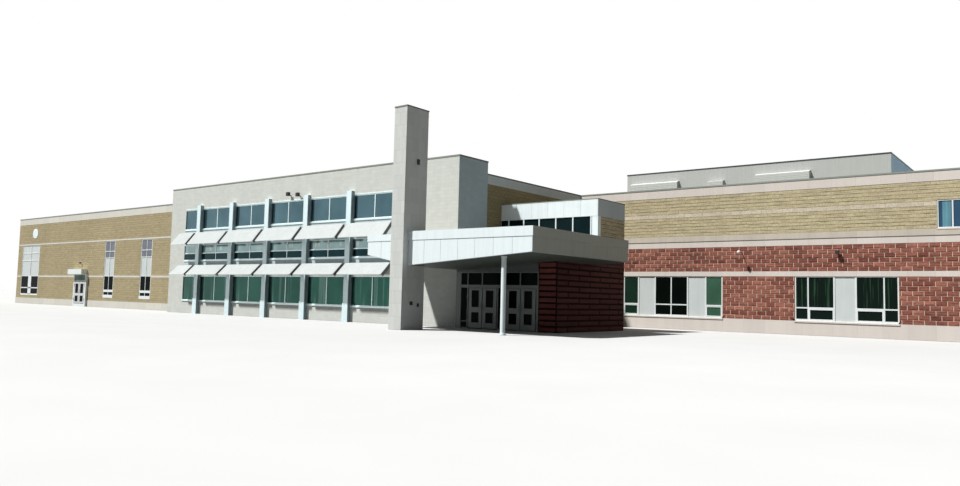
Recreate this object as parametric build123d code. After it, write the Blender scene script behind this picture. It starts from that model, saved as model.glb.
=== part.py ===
from build123d import *
import os

# Scale model, 1:10, of a long two-storey school building, in millimetres of the model.
# X runs along the front, Y into the building, Z up. X = 0, Y = 0 is the ground
# corner of the pale block slab beside the entrance, and every piece is moved at the
# end so that the origin is under the middle of the whole footprint.

# Masonry shell
wall = 30.0
slab_length = 2834.0
slab_depth = 253.0
slab_top = 922.0
wing_length = 3211.0
wing_setback = 180.0
block_length = 3080.0
block_setback = 1270.0
building_depth = 3400.0
main_top = 852.0
coping_height = 8.0
coping_lip = 2.0
piece_gap = 0.3

# Floors and roofs
ground_floor_top = 10.0
upper_floor_top = 520.0
floor_thickness = 20.0
main_roof_top = 812.0
slab_roof_top = 895.0
roof_thickness = 15.0

# Window bays of the slab
bay_pitch = 399.5
bay_count = 5
first_fin_right = -417.5
fin_width = 42.0
fin_depth = 23.0
fin_top = 785.0
fin_block_height = 112.0
fin_block_lip = 3.0
half_bay_width = 181.5
low_bay_windows = (95.0, 273.0)
middle_bay_windows = (386.0, 498.0)
top_bay_windows = (612.0, 760.0)
pane_thickness = 2.0
pane_recess = 4.0

# Sloped sunshades over the two lower window rows, each with two brackets
upper_shade = (585.0, 496.0)
lower_shade = (349.0, 279.0)
shade_inner = 45.0
shade_outer = 117.0
shade_thickness = 3.0
shade_end_gap = 3.0
bracket_width = 6.0
bracket_height = 8.0
bracket_inset = 40.0

# Pylon beside the entrance
pylon_left = 8.0
pylon_width = 82.0
pylon_front = -510.0
pylon_depth = 155.0
pylon_top = 1074.0
pylon_cap_height = 6.0
pylon_cap_lip = 2.0

# Entrance canopy
canopy_right = 806.0
canopy_front = -473.0
canopy_rear = 390.0
canopy_tail_left = -285.0
canopy_tail_front = -380.0
canopy_top = 470.0
canopy_joint = 427.0
canopy_tail_joint = 436.0
canopy_low = 307.0
canopy_tail_low = 312.0
canopy_rise = 0.0733
canopy_tail_rise = 0.19
canopy_skin = 12.0
canopy_rim_lip = 3.0
canopy_deck_top = 440.0
soffit_thickness = 8.0
column_x = 631.0
column_y = -435.0
column_radius = 11.0
column_foot_radius = 17.0
column_foot_height = 4.0

# Entrance screen and doors
screen_right = 525.0
screen_depth = 14.0
side_post = 28.0
frame_bar = 6.0
leaf_height = 203.0
leaf_width = 88.0
leaf_thickness = 5.0
leaf_clearance = 5.0
main_light_inset = 20.0
light_recess = 1.5
main_low_light = (27.0, 80.0)
main_high_light = (107.0, 194.0)
first_pair_left = 82.0
second_pair_left = 322.0
header_height = 15.0
transom_top = 296.0
stop_width = 8.0
stop_thickness = 4.0

# Hinges and pulls of every leaf
hinge_radius = 2.5
hinge_plate = 1.5
hinge_plate_width = 9.0
knuckle_height = 10.0
low_hinge_height = 30.0
high_hinge_height = 160.0
pull_height = 95.0
pull_length = 30.0
pull_bar = 2.0
pull_reach = 5.0
pull_inset = 8.0

# Lobby behind the screen and its raised clerestory
lobby_right = 630.0
lobby_rear = 687.0
clerestory_front = 390.0
clerestory_top = 695.0
clerestory_head = 605.0
clerestory_post = 35.0
clerestory_roof_top = 680.0
clerestory_coping = 4.0
passage_front = 300.0
passage_width = 260.0
passage_head = 230.0

# Right block: ground windows in groups, upper windows, bands
band_proud = 2.0
low_band = (321.0, 349.0)
ledge_band = (492.0, 528.0)
parapet_band_bottom = 802.0
block_windows = (77.0, 321.0)
group_a_left = 327.0
group_b_left = 1373.0
group_c_left = 2294.0
side_light = 103.0
panel_width = 109.0
pair_light = 214.0
wide_pair = 204.0
wide_panel = 104.0
upper_window_left = 2062.0
upper_window_width = 300.0
upper_window_gap = 330.0
upper_windows = (563.0, 705.0)
rear_group_count = 7

# Left wing
wing_base_top = 58.0
wing_low_band = (265.0, 281.0)
wing_mid_band = (585.0, 598.0)
wing_parapet_bottom = 794.0
wing_glass_bottom = 86.0
wing_glass_top = 585.0
end_column_offset = 100.0
end_column_width = 400.0
tall_column_left = -4214.0
tall_column_width = 174.0
tall_column_pitch = 620.0
tall_panel_top = 436.0
wing_door_sill = 25.0
wing_door_head = 291.0
wing_leaf_width = 92.0
wing_leaf_height = 198.0
wing_light_inset = 26.0
wing_low_light = (18.0, 63.0)
wing_high_light = (95.0, 172.0)
porch_left = -4740.0
porch_width = 240.0
porch_cheek = 15.0
porch_front = 160.0
hood_left = -4785.0
hood_width = 268.0
hood_front = 122.0
hood_height = 47.0
plaque_x = -5665.0
plaque_z = 702.0
plaque_width = 118.0
plaque_height = 98.0
plaque_thickness = 3.0

# Penthouse on the roof, with three sloped hoods on its front
penthouse_left = -33.0
penthouse_width = 1763.0
penthouse_front = 2000.0
penthouse_depth = 900.0
penthouse_top = 1094.0
penthouse_wall = 15.0
roof_hood_depth = 36.0
roof_hood_lip = 0.6
first_hood = (8.0, 367.0, 1004.0, 24.0)
second_hood = (595.0, 109.0, 992.0, 15.0)
third_hood = (921.0, 346.0, 1008.0, 22.0)

# Lamps: two over the block windows, two floodlights, one at the porch, one at the wing's end
lamp_width = 14.0
lamp_height = 16.0
lamp_reach = 22.0
first_block_lamp = (1073.0, 449.0, 55.0)
second_block_lamp = (1589.0, 443.0, 28.0)
first_floodlight = (-1415.0, 808.0, 22.0)
second_floodlight = (-1320.0, 796.0, 22.0)
porch_lamp = (-4650.0, 390.0, 22.0)
end_lamp_height = 580.0

rear_y = building_depth
slab_left = -slab_length
wing_left = slab_left - wing_length
block_end = block_length
pylon_right = pylon_left + pylon_width
pylon_rear = pylon_front + pylon_depth
front_most = pylon_front - pylon_cap_lip
rear_most = rear_y + band_proud + coping_lip
left_most = wing_left - lamp_reach
right_most = block_end + band_proud + coping_lip
centre = Vector((left_most + right_most) / 2, (front_most + rear_most) / 2, 0)


def block(x0, x1, y0, y1, z0, z1):
    """A box between two corners."""
    return Pos((x0 + x1) / 2, (y0 + y1) / 2, (z0 + z1) / 2) * Box(x1 - x0, y1 - y0, z1 - z0)


def plan_slab(points, z0, z1):
    """A flat slab with the outline of a plan."""
    return extrude(make_face(Polyline(*points, close=True)), z1 - z0).moved(Location((0, 0, z0)))


def profile_y(points, y0, y1):
    """A solid with an outline in X and Z, drawn out along Y."""
    face = make_face(Polyline(*[(x, y0, z) for x, z in points], close=True))
    return extrude(face, amount=y1 - y0, dir=(0, 1, 0))


def profile_x(points, x0, x1):
    """A solid with an outline in Y and Z, drawn out along X."""
    face = make_face(Polyline(*[(x0, y, z) for y, z in points], close=True))
    return extrude(face, amount=x1 - x0, dir=(1, 0, 0))


def save(name, *solids):
    """Write one named piece, moved to the model's own origin."""
    group = Compound(children=[s.moved(Location(-centre)) for s in solids])
    group.label = name
    export_step(group, f"parts/{name}.step")


def cut_holes_y(body, holes, y0, y1):
    """Cut window holes (x0, x1, z0, z1) through a wall that faces along Y."""
    for x0, x1, z0, z1 in holes:
        body -= block(x0, x1, y0, y1, z0, z1)
    return body


def panes_y(holes, face_y, inward):
    """Sheets that close such holes, set back from the wall's face."""
    near = face_y + inward * pane_recess
    far = near + inward * pane_thickness
    return [block(x0, x1, min(near, far), max(near, far), z0, z1) for x0, x1, z0, z1 in holes]


def flat_ring(x0, x1, y0, y1, width, z0, z1):
    """Four straight strips round a rectangle, as separate pieces."""
    side_y0 = y0 + width + piece_gap
    side_y1 = y1 - width - piece_gap
    return [block(x0, x1, y0, y0 + width, z0, z1),
            block(x0, x1, y1 - width, y1, z0, z1),
            block(x0, x0 + width, side_y0, side_y1, z0, z1),
            block(x1 - width, x1, side_y0, side_y1, z0, z1)]


def soffit_height(x):
    """Underside of the canopy, lowest at the pylon and rising both ways."""
    if x >= pylon_right:
        return canopy_low + canopy_rise * (x - pylon_right)
    if x <= pylon_left:
        return canopy_tail_low + canopy_tail_rise * (pylon_left - x)
    return canopy_low


def soffit_profile(x0, x1):
    """Outline in X and Z of a stretch of the sloped soffit."""
    z0 = soffit_height(x0)
    z1 = soffit_height(x1)
    return [(x0, z0), (x1, z1), (x1, z1 + soffit_thickness), (x0, z0 + soffit_thickness)]


def fascia_profile(x0, x1, joint):
    """Outline in X and Z of a fascia from the soffit's slope up to its joint."""
    return [(x0, soffit_height(x0)), (x1, soffit_height(x1)), (x1, joint), (x0, joint)]


def knuckles(axis_x, face_y, side, lowest):
    """Hinge knuckles round one axis, with plates towards one side."""
    group = []
    for level in (low_hinge_height, high_hinge_height):
        low = lowest + level
        barrel = Pos(axis_x, face_y - hinge_radius, low) * extrude(Circle(hinge_radius), knuckle_height)
        plate_end = axis_x + side * hinge_plate_width
        group.append(barrel + block(min(axis_x, plate_end), max(axis_x, plate_end), face_y - hinge_plate,
                                    face_y, low, low + knuckle_height))
    return group[0] + group[1]


def pair_opening(frame, left, width, face_y, sill, header):
    """Cut a doorway for two leaves into a frame, with stops behind them and hinge knuckles."""
    back = face_y + screen_depth - stop_thickness
    middle = left + width / 2
    frame -= block(left, left + width, face_y, back, sill, header)
    for x0, x1 in ((left + stop_width, middle - stop_width),
                   (middle + stop_width, left + width - stop_width)):
        frame -= block(x0, x1, back, back + stop_thickness, sill, header - stop_width)
    for side, jamb in ((1, left), (-1, left + width)):
        frame += knuckles(jamb + side * leaf_clearance / 2, face_y, -side, sill)
    return frame


def door_leaf(x0, width, face_y, sill, height, light_inset, lights, hinge_side):
    """One leaf with thin panes in its lights, its own hinge knuckles and a pull bar."""
    z0 = sill + leaf_clearance
    back = face_y + leaf_thickness
    leaf = block(x0, x0 + width, face_y, back, z0, z0 + height)
    for low, high in lights:
        leaf -= block(x0 + light_inset, x0 + width - light_inset, face_y, face_y + light_recess,
                      z0 + low, z0 + high)
        leaf -= block(x0 + light_inset, x0 + width - light_inset, back - light_recess, back,
                      z0 + low, z0 + high)
    edge = x0 if hinge_side < 0 else x0 + width
    leaf += knuckles(edge + hinge_side * leaf_clearance / 2, face_y, -hinge_side,
                     sill + knuckle_height + piece_gap)
    free_edge = x0 + width if hinge_side < 0 else x0
    pull_x = free_edge + hinge_side * pull_inset
    low = z0 + pull_height
    high = low + pull_length
    leaf += block(pull_x - pull_bar / 2, pull_x + pull_bar / 2, face_y - pull_reach,
                  face_y - pull_reach + pull_bar, low, high)
    for z in (low, high - pull_bar):
        leaf += block(pull_x - pull_bar / 2, pull_x + pull_bar / 2, face_y - pull_reach, face_y,
                      z, z + pull_bar)
    return leaf


os.makedirs("parts", exist_ok=True)
lip = coping_lip + band_proud
roof_under = main_roof_top - roof_thickness
floor_under = upper_floor_top - floor_thickness
deck_under = canopy_deck_top - roof_thickness

# Slab: front wall with three rows of window bays, five whole ones and a half one
bay_lefts = []
for k in range(bay_count):
    bay_right = first_fin_right - fin_width - k * bay_pitch
    bay_lefts.append((bay_right - bay_pitch + fin_width, bay_right))
half_right = first_fin_right - bay_count * bay_pitch - fin_width
bay_lefts.append((half_right - half_bay_width, half_right))
bay_holes = []
for row in (low_bay_windows, middle_bay_windows, top_bay_windows):
    bay_holes += [(left, right, *row) for left, right in bay_lefts]
slab_front = block(slab_left, 0, 0, wall, 0, slab_top)
save("slab_front_wall", cut_holes_y(slab_front, bay_holes, 0, wall))
save("slab_glass", *panes_y(bay_holes, 0, 1))

# Slab: its two ends, and the wall behind it that rises from the main roof
save("slab_end_walls",
     block(-wall, 0, wall, slab_depth, 0, slab_top),
     block(slab_left, slab_left + wall, wall, slab_depth, 0, slab_top),
     block(slab_left + wall + piece_gap, -wall - piece_gap, slab_depth - wall, slab_depth,
           main_roof_top, slab_top))

# White fins between the bays, each over a wider base block
fins = []
for k in range(bay_count + 1):
    right = first_fin_right - k * bay_pitch
    left = right - fin_width
    fins.append(block(left, right, -fin_depth, 0, fin_block_height + piece_gap, fin_top))
    fins.append(block(left - fin_block_lip, right + fin_block_lip, -fin_depth - fin_block_lip, 0,
                      0, fin_block_height))
save("white_fins", *fins)

# Sunshades from fin to fin, and the brackets that hold them off the wall
shades = []
brackets = []
for shade_high, shade_low in (upper_shade, lower_shade):
    for bay_left, bay_right in bay_lefts:
        left = bay_left + shade_end_gap
        right = bay_right - shade_end_gap
        shades.append(profile_x([(-shade_inner, shade_high), (-shade_outer, shade_low),
                                 (-shade_outer, shade_low - shade_thickness),
                                 (-shade_inner + shade_thickness, shade_high - shade_thickness)],
                                left, right))
        for middle in (left + bracket_inset, right - bracket_inset):
            brackets.append(block(middle - bracket_width / 2, middle + bracket_width / 2,
                                  -shade_inner + shade_thickness + piece_gap, 0,
                                  shade_high - bracket_height, shade_high - shade_thickness))
save("sunshades", *shades)
save("shade_brackets", *brackets)

# Main shell: the wall beside the entrance, with the passage from the lobby
side_wall = block(-wall, 0, slab_depth, block_setback + wall, 0, main_top)
side_wall -= block(-wall, 0, passage_front, passage_front + passage_width, ground_floor_top, passage_head)
save("side_wall", side_wall)

# Right block: window groups of lights and pale panels, and upper windows
group_holes = []
panel_holes = []
for group_left in (group_a_left, group_c_left):
    x = group_left
    for width, holes in ((side_light, group_holes), (panel_width, panel_holes), (pair_light, group_holes),
                         (panel_width, panel_holes), (side_light, group_holes)):
        holes.append((x, x + width, *block_windows))
        x += width
x = group_b_left
for width, holes in ((wide_pair, group_holes), (wide_panel, panel_holes), (wide_pair, group_holes)):
    holes.append((x, x + width, *block_windows))
    x += width
upper_holes = []
for k in range(2):
    left = upper_window_left + k * (upper_window_width + upper_window_gap)
    upper_holes.append((left, left + upper_window_width, *upper_windows))
block_y1 = block_setback + wall
lower_front = block(0, block_end, block_setback, block_y1, 0, ledge_band[0])
lower_front = cut_holes_y(lower_front, group_holes + panel_holes, block_setback, block_y1)
upper_front = block(0, block_end, block_setback, block_y1, ledge_band[0], main_top)
upper_front = cut_holes_y(upper_front, upper_holes, block_setback, block_y1)
save("block_end_wall", block(block_end - wall, block_end, block_y1, rear_y - wall, 0, main_top))

# Rear wall, which repeats the two storeys
rear_holes = []
rear_upper_holes = []
rear_pitch = (block_length + slab_length + wing_length) / rear_group_count
for k in range(rear_group_count):
    middle = wing_left + (k + 0.5) * rear_pitch
    rear_holes.append((middle - pair_light, middle + pair_light, *block_windows))
    rear_upper_holes.append((middle - pair_light / 2, middle + pair_light / 2, *upper_windows))
rear_y0 = rear_y - wall
rear_lower = block(wing_left, block_end, rear_y0, rear_y, 0, ledge_band[0])
save("red_lower_walls", lower_front, cut_holes_y(rear_lower, rear_holes, rear_y0, rear_y))
rear_upper = block(wing_left, block_end, rear_y0, rear_y, ledge_band[0], main_top)
save("tan_upper_walls", upper_front, cut_holes_y(rear_upper, rear_upper_holes, rear_y0, rear_y))
save("block_glass", *panes_y(group_holes + upper_holes, block_setback, 1),
     *panes_y(rear_holes + rear_upper_holes, rear_y, -1))

# Pale bands of the block's front, its end and the rear wall; the base band is cut at the sills
base_band = (0, block_windows[0])
block_bands = []
for z0, z1 in (base_band, low_band, ledge_band, (parapet_band_bottom, main_top)):
    block_bands.append(block(band_proud + piece_gap, block_end + band_proud, block_setback - band_proud,
                             block_setback, z0, z1))
    block_bands.append(block(block_end, block_end + band_proud, block_setback + piece_gap, rear_y, z0, z1))
    block_bands.append(block(wing_left - band_proud, block_end + band_proud, rear_y + piece_gap,
                             rear_y + band_proud, z0, z1))
block_bands.append(block(0, band_proud, slab_depth, block_setback - band_proud,
                         parapet_band_bottom, main_top))
save("block_bands", *block_bands)

# Left wing: front wall in two pieces beside the door, one below and one above it
wing_y0 = wing_setback
wing_y1 = wing_setback + wall
porch_right = porch_left + porch_width
door_x0 = porch_left + porch_cheek
door_x1 = porch_right - porch_cheek
end_column = (wing_left + end_column_offset, wing_left + end_column_offset + end_column_width)
tall_columns = [(tall_column_left + k * tall_column_pitch,
                 tall_column_left + k * tall_column_pitch + tall_column_width) for k in range(2)]
end_holes = [(*end_column, wing_glass_bottom, wing_glass_top)]
tall_holes = [(*column, wing_glass_bottom, wing_glass_top) for column in tall_columns]
save("wing_wall_left",
     cut_holes_y(block(wing_left, door_x0, wing_y0, wing_y1, 0, main_top), end_holes, wing_y0, wing_y1))
save("wing_wall_right",
     cut_holes_y(block(door_x1, slab_left, wing_y0, wing_y1, 0, main_top), tall_holes, wing_y0, wing_y1))
save("wing_wall_at_door",
     block(door_x0, door_x1, wing_y0, wing_y1, 0, wing_door_sill),
     block(door_x0, door_x1, wing_y0, wing_y1, wing_door_head, main_top))
save("wing_end_wall", block(wing_left, wing_left + wall, wing_y1, rear_y0, 0, main_top))

# Left wing: glass and white panels in its tall openings
panel_bottom = wing_low_band[1]
wing_panels = [(*end_column, panel_bottom, wing_glass_top)]
wing_glass_holes = [(*end_column, wing_glass_bottom, panel_bottom)]
for column in tall_columns:
    wing_panels.append((*column, panel_bottom, tall_panel_top))
    wing_glass_holes.append((*column, wing_glass_bottom, panel_bottom))
    wing_glass_holes.append((*column, tall_panel_top, wing_glass_top))
save("white_panels", *panes_y(panel_holes, block_setback, 1), *panes_y(wing_panels, wing_y0, 1))

# Left wing: pale bands, stopped at the openings that they meet
stops = [wing_left - band_proud]
for x0, x1 in [end_column, (porch_left, porch_right)] + tall_columns:
    stops += [x0, x1]
stops.append(slab_left)
whole_run = [(stops[0], stops[-1])]
base_runs = [(stops[0], porch_left), (porch_right, stops[-1])]
low_runs = list(zip(stops[::2], stops[1::2]))
wing_bands = []
for (z0, z1), runs in (((0, wing_base_top), base_runs), (wing_low_band, low_runs),
                       (wing_mid_band, whole_run), ((wing_parapet_bottom, main_top), whole_run)):
    wing_bands += [block(x0, x1, wing_y0 - band_proud, wing_y0, z0, z1) for x0, x1 in runs]
    wing_bands.append(block(wing_left - band_proud, wing_left, wing_y0 + piece_gap, rear_y, z0, z1))
save("wing_bands", *wing_bands)

# Wing porch: a shallow frame round the door, and a deeper hood over it
wing_pair = 2 * wing_leaf_width + 3 * leaf_clearance
wing_pair_left = (porch_left + porch_right - wing_pair) / 2
wing_header = wing_door_sill + wing_leaf_height + 2 * leaf_clearance
wing_frame = block(porch_left, porch_right, porch_front, wing_y0 - band_proud, 0, wing_door_head)
wing_frame -= block(door_x0, door_x1, porch_front + screen_depth, wing_y0, wing_door_sill, wing_door_head)
wing_frame = pair_opening(wing_frame, wing_pair_left, wing_pair, porch_front, wing_door_sill, wing_header)
wing_transom = (wing_pair_left, wing_pair_left + wing_pair,
                wing_header + frame_bar, wing_door_head - frame_bar)
wing_frame = cut_holes_y(wing_frame, [wing_transom], porch_front, wing_y0)
save("wing_porch", wing_frame,
     block(hood_left, hood_left + hood_width, hood_front, wing_y0, wing_door_head + piece_gap,
           wing_door_head + hood_height))
save("wing_glass", *panes_y(wing_glass_holes, wing_y0, 1), *panes_y([wing_transom], porch_front, 1))
wing_lights = (wing_low_light, wing_high_light)
x = wing_pair_left + leaf_clearance
for name, hinge_side in (("wing_leaf_left", -1), ("wing_leaf_right", 1)):
    save(name, door_leaf(x, wing_leaf_width, porch_front, wing_door_sill, wing_leaf_height,
                         wing_light_inset, wing_lights, hinge_side))
    x += wing_leaf_width + leaf_clearance

# Plain oval plaque high on the wing
plaque = extrude(Plane.XZ * Ellipse(plaque_width / 2, plaque_height / 2), plaque_thickness)
save("wing_plaque", Pos(plaque_x, wing_y0, plaque_z) * plaque)

# Dark coping along every parapet
cope_z1 = main_top + coping_height
copings = [
    block(wing_left - lip, slab_left - piece_gap, wing_y0 - lip, wing_y1 + lip, main_top, cope_z1),
    block(wing_left - lip, wing_left + wall + lip, wing_y1 + lip + piece_gap, rear_y0 - lip - piece_gap,
          main_top, cope_z1),
    block(wing_left - lip, block_end + lip, rear_y0 - lip, rear_y + lip, main_top, cope_z1),
    block(block_end - wall - lip, block_end + lip, block_y1 + lip + piece_gap, rear_y0 - lip - piece_gap,
          main_top, cope_z1),
    block(-wall - lip, block_end + lip, block_setback - lip, block_y1 + lip, main_top, cope_z1),
    block(-wall - lip, lip, slab_depth + piece_gap, block_setback - lip - piece_gap, main_top, cope_z1),
]
copings += flat_ring(slab_left - coping_lip, coping_lip, -coping_lip, slab_depth + coping_lip,
                     wall + 2 * coping_lip, slab_top, slab_top + coping_height)
pent_right = penthouse_left + penthouse_width
pent_rear = penthouse_front + penthouse_depth
copings.append(block(penthouse_left - coping_lip, pent_right + coping_lip, penthouse_front - coping_lip,
                     pent_rear + coping_lip, penthouse_top, penthouse_top + coping_height))
copings.append(block(pylon_left - pylon_cap_lip, pylon_right + pylon_cap_lip, front_most,
                     pylon_rear + pylon_cap_lip, pylon_top, pylon_top + pylon_cap_height))
copings += flat_ring(0, lobby_right + coping_lip, clerestory_front - coping_lip, lobby_rear + coping_lip,
                     wall + 2 * coping_lip, clerestory_top, clerestory_top + clerestory_coping)[:2]
copings.append(block(lobby_right - wall - coping_lip, lobby_right + coping_lip,
                     clerestory_front + wall + coping_lip + piece_gap,
                     lobby_rear - wall - coping_lip - piece_gap,
                     clerestory_top, clerestory_top + clerestory_coping))
save("copings", *copings)

# Floors and roofs behind the walls
inner = [(wing_left + wall, wing_y1), (slab_left, wing_y1), (slab_left, slab_depth),
         (slab_left + wall, slab_depth), (slab_left + wall, wall), (-wall, wall), (-wall, block_y1),
         (block_end - wall, block_y1), (block_end - wall, rear_y0), (wing_left + wall, rear_y0)]
lobby_inner = lobby_right - wall
lobby_back = lobby_rear - wall
save("ground_floor", plan_slab(inner, 0, ground_floor_top),
     block(piece_gap, lobby_inner, wall, lobby_back, 0, ground_floor_top))
upper_plan = [(slab_left + wall, wall), (-wall, wall), (-wall, block_y1), (block_end - wall, block_y1),
              (block_end - wall, rear_y0), (slab_left + wall, rear_y0)]
save("upper_floor", plan_slab(upper_plan, floor_under, upper_floor_top))
save("roofs", plan_slab(inner, roof_under, main_roof_top),
     block(slab_left + wall, -wall, wall, slab_depth - wall, slab_roof_top - roof_thickness, slab_roof_top),
     block(0, lobby_inner, clerestory_front + wall, lobby_back, clerestory_roof_top - roof_thickness,
           clerestory_roof_top))

# Penthouse shell on the roof, open below, and the hoods on its front
pent = block(penthouse_left, pent_right, penthouse_front, pent_rear, main_roof_top, penthouse_top)
pent -= block(penthouse_left + penthouse_wall, pent_right - penthouse_wall, penthouse_front + penthouse_wall,
              pent_rear - penthouse_wall, main_roof_top, penthouse_top - penthouse_wall)
save("penthouse", pent)
hood_y = penthouse_front - roof_hood_depth
roof_hoods = []
for left, width, bottom, height in (first_hood, second_hood, third_hood):
    roof_hoods.append(profile_x([(penthouse_front, bottom), (hood_y, bottom),
                                 (hood_y, bottom + roof_hood_lip * height),
                                 (penthouse_front, bottom + height)],
                                left, left + width))
save("roof_hoods", *roof_hoods)

# Pylon
save("pylon", block(pylon_left, pylon_right, pylon_front, pylon_rear, 0, pylon_top))

# Canopy: sloped soffit, flat deck, deep white fascia and thin upper rim
inner_right = canopy_right - canopy_skin
inner_front = canopy_front + canopy_skin
tail_inner = canopy_tail_left + canopy_skin
tail_inner_front = canopy_tail_front + canopy_skin
save("canopy_soffit",
     profile_y(soffit_profile(pylon_right, inner_right), inner_front, 0),
     block(pylon_left, pylon_right - piece_gap, pylon_rear, 0, canopy_low, canopy_low + soffit_thickness),
     profile_y(soffit_profile(tail_inner, pylon_left - piece_gap), tail_inner_front, 0),
     profile_y(soffit_profile(lobby_right, inner_right), piece_gap, canopy_rear))
rim = canopy_rim_lip
rim_z0 = canopy_joint + piece_gap
tail_rim_z0 = canopy_tail_joint + piece_gap
save("canopy_fascia",
     profile_y(fascia_profile(pylon_right, canopy_right, canopy_joint), canopy_front, inner_front),
     block(inner_right, canopy_right, inner_front + piece_gap, canopy_rear,
           soffit_height(canopy_right), canopy_joint),
     profile_y(fascia_profile(canopy_tail_left, pylon_left, canopy_tail_joint), canopy_tail_front,
               tail_inner_front),
     block(canopy_tail_left, tail_inner, tail_inner_front + piece_gap, 0,
           soffit_height(canopy_tail_left), canopy_tail_joint),
     block(pylon_right, canopy_right + rim, canopy_front - rim, inner_front, rim_z0, canopy_top),
     block(inner_right, canopy_right + rim, inner_front + piece_gap, canopy_rear, rim_z0, canopy_top),
     block(canopy_tail_left - rim, pylon_left, canopy_tail_front - rim, tail_inner_front, tail_rim_z0,
           canopy_top),
     block(canopy_tail_left - rim, tail_inner, tail_inner_front + piece_gap, 0, tail_rim_z0, canopy_top))
deck_plan = [(tail_inner, tail_inner_front), (pylon_left, tail_inner_front), (pylon_left, pylon_rear),
             (pylon_right, pylon_rear), (pylon_right, inner_front), (inner_right, inner_front),
             (inner_right, canopy_rear), (0, canopy_rear), (0, 0), (tail_inner, 0)]
save("canopy_deck", plan_slab(deck_plan, deck_under, canopy_deck_top))

# Round column under the canopy, on its foot
shaft_bottom = column_foot_height + piece_gap
shaft_top = soffit_height(column_x - column_radius) - piece_gap
save("canopy_column",
     Pos(column_x, column_y, shaft_bottom) * extrude(Circle(column_radius), shaft_top - shaft_bottom),
     Pos(column_x, column_y, 0) * extrude(Circle(column_foot_radius), column_foot_height))

# Entrance screen: two pairs of doors, a sidelight, a light between them and transoms
pair_width = 2 * leaf_width + 3 * leaf_clearance
header_bottom = leaf_height + 2 * leaf_clearance
header_top = header_bottom + header_height
frame = block(0, screen_right, 0, screen_depth, 0, transom_top)
for left in (first_pair_left, second_pair_left):
    frame = pair_opening(frame, left, pair_width, 0, 0, header_bottom)
first_pair_right = first_pair_left + pair_width
screen_holes = [(side_post + frame_bar, first_pair_left - frame_bar, frame_bar, header_bottom),
                (first_pair_right + frame_bar, second_pair_left - frame_bar, frame_bar, header_bottom)]
transom_stops = [side_post + frame_bar, first_pair_left, first_pair_left + pair_width / 2,
                 (first_pair_right + second_pair_left) / 2, second_pair_left + pair_width / 2, screen_right]
for a, b in zip(transom_stops, transom_stops[1:]):
    screen_holes.append((a, b - frame_bar, header_top, transom_top - frame_bar))
frame = cut_holes_y(frame, screen_holes, 0, screen_depth)
save("entrance_frame", frame)
save("entrance_glass", *panes_y(screen_holes, 0, 1),
     block(0, lobby_right - clerestory_post, clerestory_front + pane_recess,
           clerestory_front + pane_recess + pane_thickness, canopy_deck_top, clerestory_head))
main_lights = (main_low_light, main_high_light)
for index, left in enumerate((first_pair_left, second_pair_left)):
    x = left + leaf_clearance
    for number, hinge_side in ((2 * index + 1, -1), (2 * index + 2, 1)):
        save(f"entrance_leaf_{number}",
             door_leaf(x, leaf_width, 0, 0, leaf_height, main_light_inset, main_lights, hinge_side))
        x += leaf_width + leaf_clearance

# Lobby walls: red brick over and beside the doors and along the open side, tan behind
save("lobby_red_wall",
     block(0, screen_right - piece_gap, 0, wall, transom_top + piece_gap, deck_under),
     block(screen_right, lobby_right, 0, wall, 0, deck_under),
     block(lobby_inner, lobby_right, wall + piece_gap, lobby_rear, 0, deck_under))
save("lobby_rear_wall", block(0, lobby_inner, lobby_back, lobby_rear, 0, clerestory_top))

# Clerestory over the lobby
save("clerestory_side_wall", block(lobby_inner, lobby_right, clerestory_front + wall, lobby_rear,
                                   deck_under + piece_gap, clerestory_top))
save("clerestory_fascia",
     block(0, lobby_right, clerestory_front, clerestory_front + wall, clerestory_head, clerestory_top),
     block(lobby_right - clerestory_post, lobby_right, clerestory_front, clerestory_front + wall,
           canopy_deck_top, clerestory_head - piece_gap))

# Lamps on the walls
lamps = []
for (x, z, reach), face_y in ((first_block_lamp, block_setback), (second_block_lamp, block_setback),
                              (first_floodlight, 0), (second_floodlight, 0), (porch_lamp, wing_y0)):
    lamps.append(block(x, x + lamp_width, face_y - reach, face_y, z, z + lamp_height))
lamps.append(block(wing_left - lamp_reach, wing_left, wing_y1, wing_y1 + lamp_width,
                   end_lamp_height - lamp_height, end_lamp_height))
save("wall_lamps", *lamps)
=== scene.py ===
# %% [markdown]
# A long two-storey school building as a 1:10 model: a pale slab with white fins and
# sunshades, a pylon, a white entrance canopy, a tan and red block at the right and a tan
# wing at the left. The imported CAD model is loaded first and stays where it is. Everything
# after it is finish, or detail that is laid on those solids.

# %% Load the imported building
import math
import random

import bmesh
import bpy
from mathutils import Matrix, Vector


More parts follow.
